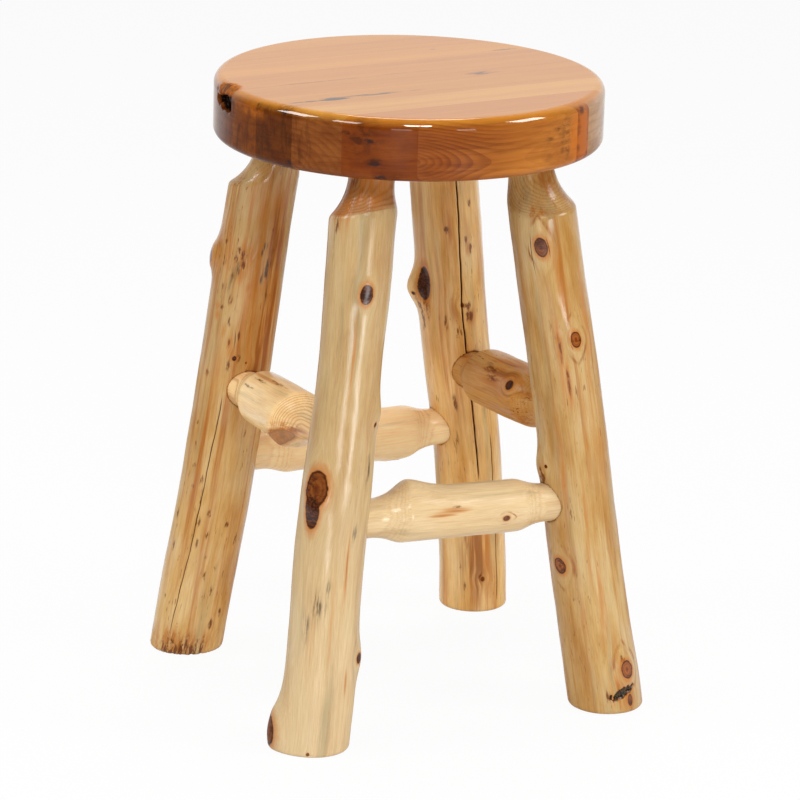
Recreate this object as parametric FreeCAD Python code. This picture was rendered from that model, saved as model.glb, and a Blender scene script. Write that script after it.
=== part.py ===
import FreeCAD, Part
import math
import os
from dataclasses import dataclass

# Rustic log stool: a round seat glued up from staves, on four splayed log legs
# that four log stretchers tie together. Every joint is a round mortise and tenon.
# Millimetres and degrees. The floor is z = 0, +Z is up, -Y is the front and the
# origin lies on the floor under the middle of the seat. Headings turn from +X to +Y.

Vector = FreeCAD.Vector

# Seat
SEAT_HEIGHT = 616.0
SEAT_DIAMETER = 381.0
SEAT_THICKNESS = 60.3
SEAT_TOP_ROUND = 10.0
SEAT_BOTTOM_ROUND = 8.0
STAVE_COUNT = 9
STAVE_HEADING = 4.0  # the way the staves run
BLANK_TRIM = 12.0  # waste allowed beyond the disc on each side of the glued-up blank
BLANK_SHIFT = 11.5  # the disc is sawn this far behind the middle of the blank

# Logs
LEG_DIAMETER = 70.0
STRETCHER_DIAMETER = 54.0
FOOT_ROUND = 4.0
OVAL = 0.5  # half the difference between a log's long and short radius
SECTION_STEP = 20.0  # greatest distance between the sections of a log
SECTION_POINTS = 24

# Tenons and mortises
LEG_TENON_DIAMETER = 44.5
LEG_TENON_LENGTH = 38.0
STRETCHER_TENON_DIAMETER = 38.0
STRETCHER_TENON_PAST = 8.0  # how far a stretcher's tenon runs past the leg's centre
SHOULDER_RADIUS = 60.0  # hollow that the tenon cutter leaves under the tenon
SHOULDER_TURN = 65.0  # how far the hollow turns outwards
CUTTER_SEAM = 45.0  # keeps the seam of the cutter's surface off the seam of the log's
SHOULDER_GAP = 4.0  # usual bare tenon between a leg's face and a stretcher's shoulder
TENON_CHAMFER = 2.0
GLUE_GAP = 0.15  # room for glue round a tenon
END_GAP = 0.5  # room for glue at a tenon's end

SEAT_UNDERSIDE = SEAT_HEIGHT - SEAT_THICKNESS


@dataclass(frozen=True)
class Knot:
    """The swollen collar round a knot on a log.

    place is the height on a leg, or the distance along a stretcher. heading is the
    direction round the log. rise is how far the collar stands out, reach and width
    are its half-size along and round the log.
    """

    place: float
    heading: float
    rise: float
    reach: float
    width: float


@dataclass(frozen=True)
class Leg:
    """Where a leg stands and how its log grew.

    inset is the distance from the seat's rim to the centre of the mortise. neck is
    the bare tenon under the seat. Each station is a share of the leg's height, the
    swell of its radius there and its sway off the straight line of the tenon, towards
    the sway heading.
    """

    mortise_heading: float
    inset: float
    lean: float
    lean_heading: float
    neck: float
    sway_heading: float
    stations: tuple
    knots: tuple


@dataclass(frozen=True)
class Stretcher:
    """Which legs a stretcher joins, at which heights, and how its log grew.

    Each station is a share of the length, the swell of the radius there and the
    sway off the straight line of the tenons, towards the sway heading. A neck is the
    bare tenon between a leg's face and the shoulder.
    """

    first_leg: str
    first_height: float
    second_leg: str
    second_height: float
    stations: tuple
    knots: tuple
    sway_heading: float = 90.0
    first_neck: float = SHOULDER_GAP
    second_neck: float = SHOULDER_GAP


LEGS = {
    "back_left_leg": Leg(
        mortise_heading=138.0, inset=62.5, lean=9.1, lean_heading=137.2, neck=25.0,
        sway_heading=114.5,
        stations=((0.0, 1.8, 3.4), (0.15, 1.8, 3.4), (0.3, 1.4, 1.9), (0.55, 0.6, 5.4),
                  (0.7, 0.0, 8.8), (0.85, -1.2, 10.9), (1.0, -1.2, 10.8)),
        knots=(Knot(418, 155, 7.0, 16, 18), Knot(320, 241, 1.2, 12, 10), Knot(231, 60, 3.0, 20, 18),
               Knot(101, 20, 2.5, 22, 18))),
    "front_left_leg": Leg(
        mortise_heading=229.3, inset=59.5, lean=10.4, lean_heading=218.2, neck=12.5,
        sway_heading=154.0,
        stations=((0.0, -1.0, -2.6), (0.1, -0.4, -2.1), (0.2, -1.4, -0.6), (0.33, -1.2, 1.9),
                  (0.44, -1.4, 1.6), (0.55, -3.4, 1.6), (0.66, -4.8, 1.4), (0.8, -3.5, 2.7),
                  (0.9, -3.0, 4.1), (1.0, -2.4, 5.0)),
        knots=(Knot(17, 158, 12.5, 28, 24), Knot(88, -30, 3.5, 18, 16), Knot(249, 208, 3.5, 24, 17),
               Knot(324, -42, 3.5, 16, 16), Knot(442, 261, 1.8, 12, 11), Knot(406, 80, 3.0, 20, 18))),
    "back_right_leg": Leg(
        mortise_heading=49.8, inset=58.5, lean=10.7, lean_heading=34.3, neck=14.0,
        sway_heading=-26.0,
        stations=((0.0, -0.2, 0.0), (0.1, -0.4, 3.0), (0.27, -0.7, 4.7), (0.38, -0.3, 4.0),
                  (0.5, -0.4, 0.6), (0.6, -0.3, -1.0), (0.75, -0.4, -1.0), (0.9, -0.3, -1.5),
                  (1.0, 0.0, -1.5)),
        knots=(Knot(361, 168, 10.5, 19, 15), Knot(136, 70, 3.5, 20, 18), Knot(431, 15, 3.0, 18, 17))),
    "front_right_leg": Leg(
        mortise_heading=-48.1, inset=65.0, lean=10.1, lean_heading=-41.0, neck=16.0,
        sway_heading=-75.5,
        stations=((0.0, 1.8, 1.5), (0.06, 2.0, 2.0), (0.16, 0.9, 0.8), (0.3, 0.6, 1.4),
                  (0.44, -0.2, 4.7), (0.5, -0.8, 6.9), (0.65, -1.0, 8.1), (0.8, -1.7, 7.8),
                  (1.0, -2.0, 9.9)),
        knots=(Knot(471, 235, 2.5, 20, 15), Knot(380, 272, 2.5, 16, 14), Knot(149, 198, 2.0, 16, 14),
               Knot(38, 289, 2.5, 18, 16), Knot(246, 176, 4.0, 16, 13), Knot(336, 40, 3.5, 20, 18))),
}

STRETCHERS = {
    "front_stretcher": Stretcher(
        "front_left_leg", 217.0, "front_right_leg", 209.2,
        stations=((0.0, -1.0, 0.0), (0.3, 0.5, 1.0), (0.5, -0.5, 0.0), (0.75, -1.0, 0.0), (1.0, -2.5, 0.0)),
        knots=(Knot(78, 100, 7.0, 22, 20), Knot(174, -7, 1.2, 12, 10), Knot(150, 200, 2.0, 16, 14))),
    "back_stretcher": Stretcher(
        "back_left_leg", 206.0, "back_right_leg", 208.5,
        stations=((0.0, -1.0, 0.0), (0.35, -0.5, 0.5), (0.7, 0.0, -0.5), (1.0, -1.0, 0.0)),
        knots=(Knot(105, 30, 3.0, 18, 16), Knot(190, 250, 2.0, 16, 14))),
    "left_stretcher": Stretcher(
        "back_left_leg", 283.9, "front_left_leg", 299.2,
        stations=((0.0, 0.0, 0.0), (0.3, 1.0, 1.0), (0.6, 1.5, 4.5), (0.8, 2.0, 7.0), (1.0, 0.5, 7.5)),
        knots=(Knot(165, -38, 4.5, 18, 15), Knot(120, 190, 2.0, 16, 14)),
        sway_heading=-20.0, second_neck=18.0),
    "right_stretcher": Stretcher(
        "back_right_leg", 274.5, "front_right_leg", 296.1,
        stations=((0.0, 0.5, 0.0), (0.35, 2.5, 0.0), (0.65, 2.5, 0.0), (1.0, 0.5, 0.0)),
        knots=(Knot(174, 148, 2.0, 14, 13), Knot(90, 20, 2.5, 18, 16))),
}


def on_circle(radius, heading):
    """Point of a level circle round the Z axis."""
    turn = math.radians(heading)
    return Vector(radius * math.cos(turn), radius * math.sin(turn), 0)


def along_stations(stations, share, column):
    """Value of one column at a share of the length, on a smooth cubic through the stations."""
    shares = [station[0] for station in stations]
    values = [station[column] for station in stations]
    last = len(shares) - 1
    share = min(max(share, shares[0]), shares[last])
    low = max(index for index in range(last) if shares[index] <= share)

    def slope(index):
        before, after = max(index - 1, 0), min(index + 1, last)
        return (values[after] - values[before]) / (shares[after] - shares[before])

    span = shares[low + 1] - shares[low]
    part = (share - shares[low]) / span
    rest = 1 - part
    ends = values[low] * (1 + 2 * part) * rest**2 + values[low + 1] * (3 - 2 * part) * part**2
    return ends + span * part * rest * (slope(low) * rest - slope(low + 1) * part)


@dataclass(frozen=True)
class Log:
    """A peeled log, as round sections along a straight run.

    A place on it is measured from start, and length is the place of the run's end.
    side and up are the directions of headings 0 and 90 in every section. The radius
    at a place and heading is the nominal radius with the stations' swell, a slight
    oval and a bell-shaped collar for every knot.
    """

    start: Vector
    run: Vector
    length: float
    side: Vector
    up: Vector
    radius: float
    stations: tuple
    sway_heading: float
    knots: tuple

    def towards(self, heading):
        turn = math.radians(heading)
        return self.side * math.cos(turn) + self.up * math.sin(turn)

    def centre(self, place):
        sway = along_stations(self.stations, place / self.length, 2)
        return self.start + self.run * (place / self.length) + self.towards(self.sway_heading) * sway

    def girth(self, place):
        return self.radius + along_stations(self.stations, place / self.length, 1)

    def surface(self, place, heading):
        reach = self.girth(place) + OVAL * math.cos(math.radians(2 * heading))
        for knot in self.knots:
            turn = (heading - knot.heading + 180) % 360 - 180
            around = math.radians(turn) * self.radius / knot.width
            along = (place - knot.place) / knot.reach
            reach += knot.rise * math.exp(-(along**2) - around**2)
        return self.centre(place) + self.towards(heading) * reach

    def section(self, place):
        headings = [360 * index / SECTION_POINTS for index in range(SECTION_POINTS + 1)]
        points = [self.surface(place, heading) for heading in headings[:-1]]
        outline = Part.BSplineCurve()
        outline.interpolate(Points=points, PeriodicFlag=True, Parameters=headings)
        return Part.Wire(outline.toShape())

    def solid(self, first, last):
        count = math.ceil((last - first) / SECTION_STEP)
        places = [first + (last - first) * index / count for index in range(count + 1)]
        return Part.makeLoft([self.section(place) for place in places], True)


def tenon_cutter(mouth, direction, radius, length, neck, back):
    """Solid of revolution that a log is cut down to at one end.

    The round tenon ends length beyond the mouth. It runs back past the mouth by the
    neck, and there a hollow shoulder turns outwards until it clears the log, which
    stays whole as far back as the last size says.
    """
    turn = math.radians(SHOULDER_TURN)

    def hollow(angle):
        out = SHOULDER_RADIUS * (1 - math.cos(angle))
        return Vector(radius + out, 0, -neck - SHOULDER_RADIUS * math.sin(angle))

    root = hollow(0)
    clear = hollow(turn)
    tip = [Vector(0, 0, length), Vector(radius - TENON_CHAMFER, 0, length),
           Vector(radius, 0, length - TENON_CHAMFER)]
    tail = [clear, Vector(clear.x, 0, -back), Vector(0, 0, -back), tip[0]]
    shoulder = Part.Arc(root, hollow(turn / 2), clear).toShape()
    outline = Part.makePolygon(tip + [root]).Edges + [shoulder] + Part.makePolygon(tail).Edges
    cutter = Part.Face(Part.Wire(outline)).revolve(Vector(0, 0, 0), Vector(0, 0, 1), 360)
    aim = FreeCAD.Rotation(Vector(0, 0, 1), direction)
    cutter.Placement = FreeCAD.Placement(mouth, aim * FreeCAD.Rotation(Vector(0, 0, 1), CUTTER_SEAM))
    return cutter


def mortise(mouth, direction, radius, depth, clear):
    """Round hole for a tenon, as deep as the tenon and its glue room, open to the clear side."""
    bottom = mouth + direction * (depth + END_GAP)
    return Part.makeCylinder(radius + GLUE_GAP, depth + END_GAP + clear, bottom, direction * -1)


def leg_mouth(leg):
    """Centre of a leg's mortise on the underside of the seat."""
    return on_circle(SEAT_DIAMETER / 2 - leg.inset, leg.mortise_heading) + Vector(0, 0, SEAT_UNDERSIDE)


def leg_rise(leg):
    """Vector from the centre of a leg's foot to its mortise."""
    spread = on_circle(SEAT_UNDERSIDE * math.tan(math.radians(leg.lean)), leg.lean_heading)
    return Vector(0, 0, SEAT_UNDERSIDE) - spread


def leg_log(leg):
    """The log of a leg, in level sections, placed by height."""
    rise = leg_rise(leg)
    return Log(leg_mouth(leg) - rise, rise, SEAT_UNDERSIDE, Vector(1, 0, 0), Vector(0, 1, 0),
               LEG_DIAMETER / 2, leg.stations, leg.sway_heading, leg.knots)


def stretcher_log(stretcher):
    """The log of a stretcher, in sections square to it, placed by distance from its first leg.

    Heading 0 faces away from the middle of the stool and heading 90 faces up.
    """
    first = leg_log(LEGS[stretcher.first_leg]).centre(stretcher.first_height)
    second = leg_log(LEGS[stretcher.second_leg]).centre(stretcher.second_height)
    run = second - first
    side = run.cross(Vector(0, 0, 1)).normalize()
    middle = first + run * 0.5
    if side.dot(middle) < 0:
        side = side * -1
    up = Vector(0, 0, 1) - run * (run.z / run.Length**2)
    return Log(first, run, run.Length, side, up.normalize(), STRETCHER_DIAMETER / 2, stretcher.stations,
               stretcher.sway_heading, stretcher.knots)


def stretcher_ends(stretcher):
    """The leg's name, the leg's centre, the outward direction and the shoulder's distance at each end."""
    log = stretcher_log(stretcher)
    outwards = Vector(log.run).normalize()
    first = leg_log(LEGS[stretcher.first_leg]).girth(stretcher.first_height) + stretcher.first_neck
    second = leg_log(LEGS[stretcher.second_leg]).girth(stretcher.second_height) + stretcher.second_neck
    return [(stretcher.first_leg, log.start, outwards * -1, first),
            (stretcher.second_leg, log.start + log.run, outwards, second)]


def seat_disc():
    """The whole round seat with its rounded rims."""
    radius = SEAT_DIAMETER / 2

    def rim(height, inset, size, angle):
        out = radius - size + size * math.cos(math.radians(angle))
        return Vector(out, 0, height - inset + size * math.sin(math.radians(angle)))

    bottom = [rim(SEAT_UNDERSIDE, -SEAT_BOTTOM_ROUND, SEAT_BOTTOM_ROUND, angle) for angle in (-90, -45, 0)]
    top = [rim(SEAT_HEIGHT, SEAT_TOP_ROUND, SEAT_TOP_ROUND, angle) for angle in (0, 45, 90)]
    centre = [Vector(0, 0, SEAT_HEIGHT), Vector(0, 0, SEAT_UNDERSIDE)]
    outline = [Part.Arc(*bottom).toShape(), Part.makeLine(bottom[2], top[0]), Part.Arc(*top).toShape()]
    outline += Part.makePolygon([top[2]] + centre + [bottom[0]]).Edges
    return Part.Face(Part.Wire(outline)).revolve(Vector(0, 0, 0), Vector(0, 0, 1), 360)


def seat_staves():
    """The disc sawn into its staves, from the rear one to the front one, with the leg mortises."""
    disc = seat_disc()
    for leg in LEGS.values():
        upwards = leg_rise(leg).normalize()
        hole = mortise(leg_mouth(leg), upwards, LEG_TENON_DIAMETER / 2, LEG_TENON_LENGTH, LEG_TENON_DIAMETER)
        disc = disc.cut(hole)
    width = (SEAT_DIAMETER + 2 * BLANK_TRIM) / STAVE_COUNT
    rear = SEAT_DIAMETER / 2 + BLANK_TRIM - BLANK_SHIFT
    staves = {}
    for index in range(STAVE_COUNT):
        corner = Vector(-SEAT_DIAMETER, rear - (index + 1) * width, SEAT_UNDERSIDE)
        board = Part.makeBox(2 * SEAT_DIAMETER, width, SEAT_THICKNESS, corner)
        board.rotate(Vector(0, 0, 0), Vector(0, 0, 1), STAVE_HEADING)
        staves[f"seat_stave_{index + 1}"] = disc.common(board)
    return staves


def leg_solid(name):
    """A leg with its tenon, its rounded foot and the mortises of its two stretchers."""
    leg = LEGS[name]
    log = leg_log(leg)
    rise = leg_rise(leg)
    upwards = Vector(rise).normalize()
    top = SEAT_UNDERSIDE + LEG_TENON_LENGTH + LEG_TENON_DIAMETER / 2
    cutter = tenon_cutter(leg_mouth(leg), upwards, LEG_TENON_DIAMETER / 2, LEG_TENON_LENGTH, leg.neck,
                          rise.Length + LEG_DIAMETER)
    solid = log.solid(0, top).common(cutter)
    foot = [edge for edge in solid.Edges if edge.BoundBox.ZMax < END_GAP]
    solid = solid.makeFillet(FOOT_ROUND, foot)
    for stretcher in STRETCHERS.values():
        for end_leg, centre, outwards, _ in stretcher_ends(stretcher):
            if end_leg == name:
                solid = solid.cut(mortise(centre, outwards, STRETCHER_TENON_DIAMETER / 2,
                                          STRETCHER_TENON_PAST, LEG_DIAMETER))
    return solid


def stretcher_solid(name):
    """A stretcher with a tenon and a hollow shoulder at each end."""
    stretcher = STRETCHERS[name]
    log = stretcher_log(stretcher)
    spare = STRETCHER_TENON_PAST + STRETCHER_TENON_DIAMETER / 2
    solid = log.solid(-spare, log.length + spare)
    for _, centre, outwards, neck in stretcher_ends(stretcher):
        cutter = tenon_cutter(centre, outwards, STRETCHER_TENON_DIAMETER / 2, STRETCHER_TENON_PAST, neck,
                              2 * log.length)
        solid = solid.common(cutter)
    return solid


pieces = seat_staves()
for leg_name in LEGS:
    pieces[leg_name] = leg_solid(leg_name)
for stretcher_name in STRETCHERS:
    pieces[stretcher_name] = stretcher_solid(stretcher_name)

os.makedirs("parts", exist_ok=True)
for piece_name, piece in pieces.items():
    piece.exportStep(f"parts/{piece_name}.step")
    print(piece_name, len(piece.Solids), piece.isValid(), round(piece.Volume / 1000), "cm3")
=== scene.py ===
"""Looks of a round log stool: peeled-log legs and stretchers under a glued-up, lacquered seat.

Specifications are in millimetres and degrees, as a maker gives them. Meshes are in metres.
"""

import logging
import math
from collections.abc import Callable, Iterable
from dataclasses import dataclass, field
from enum import Enum
from typing import Optional, Union

import bmesh
import bpy
import numpy as np
from mathutils import Matrix, Vector


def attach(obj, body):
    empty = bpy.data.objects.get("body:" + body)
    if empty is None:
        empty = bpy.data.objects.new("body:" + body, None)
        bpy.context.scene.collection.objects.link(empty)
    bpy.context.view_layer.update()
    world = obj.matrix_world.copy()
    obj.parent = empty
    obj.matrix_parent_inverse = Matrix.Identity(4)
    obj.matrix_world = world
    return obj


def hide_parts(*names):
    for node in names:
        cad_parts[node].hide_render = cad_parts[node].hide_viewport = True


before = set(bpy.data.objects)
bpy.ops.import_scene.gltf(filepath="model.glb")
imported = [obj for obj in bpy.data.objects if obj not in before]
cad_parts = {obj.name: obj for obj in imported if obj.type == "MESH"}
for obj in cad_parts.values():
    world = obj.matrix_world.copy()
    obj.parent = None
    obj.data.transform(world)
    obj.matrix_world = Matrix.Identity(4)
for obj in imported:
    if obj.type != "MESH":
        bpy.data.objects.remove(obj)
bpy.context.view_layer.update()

MM = 0.001
BODY = "root"

Array = np.ndarray
Stations = tuple[tuple[float, float, float], ...]
Patches = tuple[tuple[float, float, float, float, float], ...]
Colour = tuple[float, float, float, float]
Socket = bpy.types.NodeSocket
Feed = Union[float, tuple, Socket]

logger = logging.getLogger("log_stool")

# Sizes shared with the joinery
SEAT_HEIGHT = 616.0
SEAT_DIAMETER = 381.0
SEAT_THICKNESS = 60.3
SEAT_TOP_ROUND = 10.0
SEAT_BOTTOM_ROUND = 8.0
STAVE_COUNT = 9
STAVE_HEADING = 4.0
BLANK_TRIM = 12.0
BLANK_SHIFT = 11.5
SEAT_UNDERSIDE = SEAT_HEIGHT - SEAT_THICKNESS
LEG_DIAMETER = 70.0
STRETCHER_DIAMETER = 54.0
FOOT_ROUND = 4.0
OVAL = 0.5
LEG_TENON_DIAMETER = 44.5
LEG_TENON_LENGTH = 38.0
STRETCHER_TENON_DIAMETER = 38.0
STRETCHER_TENON_PAST = 8.0
SHOULDER_RADIUS = 60.0
SHOULDER_TURN = 65.0
SHOULDER_GAP = 4.0
TENON_CHAMFER = 2.0
MORTISE_PLAY = 0.4
CREASE_ROUND = 3.0

# Fineness of the meshes
HALVINGS = 36
FOOT_ROWS = 8
SHOULDER_ROWS = 34
NECK_ROWS = 16
TOP_ROUND_STEPS = 15
BOTTOM_ROUND_STEPS = 13
OUTER_STEPS = 170
OUTER_TOP_STEPS = 17
SEAM_STEPS = 22
EVEN_SHARE = 0.96
LAST_SHARES = (0.985, 0.997)
TIP_GAP = 0.05
MERGE_DISTANCE = 1e-6
SHARP_ANGLE = 35.0
TINY = 1e-6

# Drying cracks: a slow and a quick wander in degrees and millimetres, how far they run past
# their ends and fade, and the columns beside them in crack widths
CRACK_WANDER = ((0.35, 11.0), (0.2, 4.1))
CRACK_PAST = 2.0
CRACK_FADE = 22.0
CRACK_HALF = 0.55
CRACK_CLEAR = 2.0
CRACK_COLUMNS = np.array([-1.6, -0.9, -0.5, -0.2, 0.0, 0.2, 0.5, 0.9, 1.6])
CRACK_PULL = 26.0

# Knots and pockets: depths of the hearts and their raised rims, and how they push the grain
BARK_HEART_DEPTH = 3.2
HEART_DEPTH = 0.07
HEART_SPREAD = 0.8
HEART_LIP = 0.05
LIP_AWAY = 1.2
LIP_SPREAD = 0.35
POCKET_FLOOR = 0.6
POCKET_DARK = 2.0
COLLAR_CORE = 0.45
GRAIN_PUSH = 0.8
GRAIN_SPREAD = 1.9
LENS_WIDE = 2.0
LENS_TALL = 3.0
FAR_AWAY = 9.0

# Logs as a whole: the cut depth up to which the grown surface shows, the part of a tenon that
# turns square, and the painted light that makes a leg paler towards its foot, out of the seat's shade
GROWN_DEPTH = 0.4
SQUARE_FROM, SQUARE_BY = 0.1, 0.7
MORTISE_RIM = 0.9
PALE_FROM, PALE_TO = 40.0, 330.0
PALE_COOLS = 1.5
CORE_SHARE = 0.3
LOG_SPACING = 900.0
SEED_STEP = 10
SWELL, SWAY = 1, 2
UPRIGHT = np.array([0.0, 0.0, 1.0])

# Steps that strew patches without repeating
PLACE_STEP, TURN_STEP = 0.618, 0.755

# Sockets of a mix node that are for colours
MIX_INPUTS, MIX_OUTPUT = (0, 6, 7), 2


class Heart(Enum):
    """How dark the heart of a knot is."""

    PALE = 0.0
    RED = 0.25
    BROWN = 0.55
    DARK = 0.85
    BARK = 1.0


class Tint(Enum):
    """Colour channel that a stain is written to."""

    ORANGE = 0
    BLUE = 1
    BROWN = 2


@dataclass(frozen=True)
class Knot:
    """A knot on a log: its swollen collar and the heart that shows in it.

    place is the height on a leg or the distance along a stretcher. reach and width are
    the collar's half-size along and round the log, tall and wide the heart's. eye says how
    strongly the grain draws a lens round the heart.
    """

    place: float
    heading: float
    rise: float
    reach: float
    width: float
    tall: float = 0.0
    wide: float = 0.0
    heart: Heart = Heart.BROWN
    eye: float = 0.0


@dataclass(frozen=True)
class Check:
    """A drying crack: the places and headings that it runs through, its width and depth."""

    path: tuple[tuple[float, float], ...]
    width: float
    depth: float

    @property
    def heading(self) -> float:
        """The mean of the headings that it runs through."""
        return float(np.mean([heading for _, heading in self.path]))


@dataclass(frozen=True)
class Stain:
    """A coloured patch on a log: its half-sizes along and round it, and its strength, 1 for a full one."""

    place: float
    heading: float
    tall: float
    wide: float
    tint: Tint
    strength: float


@dataclass(frozen=True)
class Torn:
    """A patch of torn fibres on a log, with how deep they are torn."""

    place: float
    heading: float
    tall: float
    wide: float
    depth: float


@dataclass(frozen=True)
class Pocket:
    """A dark bark pocket across a log.

    tall and wide are its half-sizes along and round the log, and slope is how far it climbs
    for each millimetre round it.
    """

    place: float
    heading: float
    tall: float
    wide: float
    depth: float
    slope: float


@dataclass(frozen=True)
class Waves:
    """Waves over a log: their height, the most turns round it and the shortest length along it.

    longest is how many times that length the longest wave has.
    """

    height: float
    turns: int
    length: float
    longest: float = 4.0
    count: int = 14


DRAWKNIFE = Waves(0.15, 7, 40.0)
FINE_MARKS = Waves(0.03, 19, 14.0)
TORN_FIBRES = Waves(1.0, 48, 16.0)
RAGGED_BARK = Waves(0.16, 60, 5.0)


@dataclass(frozen=True, kw_only=True)
class LogSpec:
    """How a log grew.

    stations give a share of the length, the swell and the sway, which leans to sway_heading.
    warmth says how far the wood leans from cream to orange, and below 0 to nearly white.
    ringed says how clearly its rings show on the shoulder. shade scales its colour: it is partly
    the log's own tone and partly painted light that brightens a log the lamps leave in shade.
    The foot's setting is painted light too, saying how much paler a leg gets towards its foot,
    out of the seat's shade, and gloss says how thick its coat is.
    """

    stations: Stations
    knots: tuple[Knot, ...]
    warmth: float
    shade: float
    sway_heading: float = 90.0
    checks: tuple[Check, ...] = ()
    stains: tuple[Stain, ...] = ()
    torn: tuple[Torn, ...] = ()
    pockets: tuple[Pocket, ...] = ()
    ringed: float = 0.16
    foot_painted_light: float = 0.0
    gloss: float = 0.95


@dataclass(frozen=True, kw_only=True)
class LegSpec(LogSpec):
    """A leg's log: where its mortise is in the seat, how it leans, and how long its neck is."""

    mortise_heading: float
    inset: float
    lean: float
    lean_heading: float
    neck: float
    ringed: float = 0.32
    foot_painted_light: float = 0.06


@dataclass(frozen=True, kw_only=True)
class StretcherSpec(LogSpec):
    """A stretcher's log: which legs it joins, at which heights, and how long its necks are."""

    first_leg: str
    first_height: float
    second_leg: str
    second_height: float
    first_neck: float = SHOULDER_GAP
    second_neck: float = SHOULDER_GAP


def tinted(kind: type, orange: tuple = (), blue: tuple = (), brown: tuple = ()) -> tuple:
    """Stains or marks of a class in the three tints, each given as its fields in order without the tint."""
    groups = ((Tint.ORANGE, orange), (Tint.BLUE, blue), (Tint.BROWN, brown))
    return tuple(kind(*patch[:-1], tint, patch[-1]) for tint, patches in groups for patch in patches)


def scattered(count: int, corner: tuple[float, float], span: tuple[float, float], tall: tuple[float, float],
              wide: tuple[float, float], strength: float) -> Patches:
    """Patches strewn from a corner over a span of places and headings, with half-sizes by least and step."""
    return tuple((corner[0] + span[0] * (i * PLACE_STEP % 1.0), corner[1] + span[1] * (i * TURN_STEP % 1.0),
                  tall[0] + tall[1] * (i % 4), wide[0] + wide[1] * (i % 3), strength) for i in range(count))


# A leg's shade is partly its own tone and partly painted light: above 1 it brightens a leg that the lamps leave
# in shade, and the foot's setting paints a leg lighter towards its foot
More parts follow.
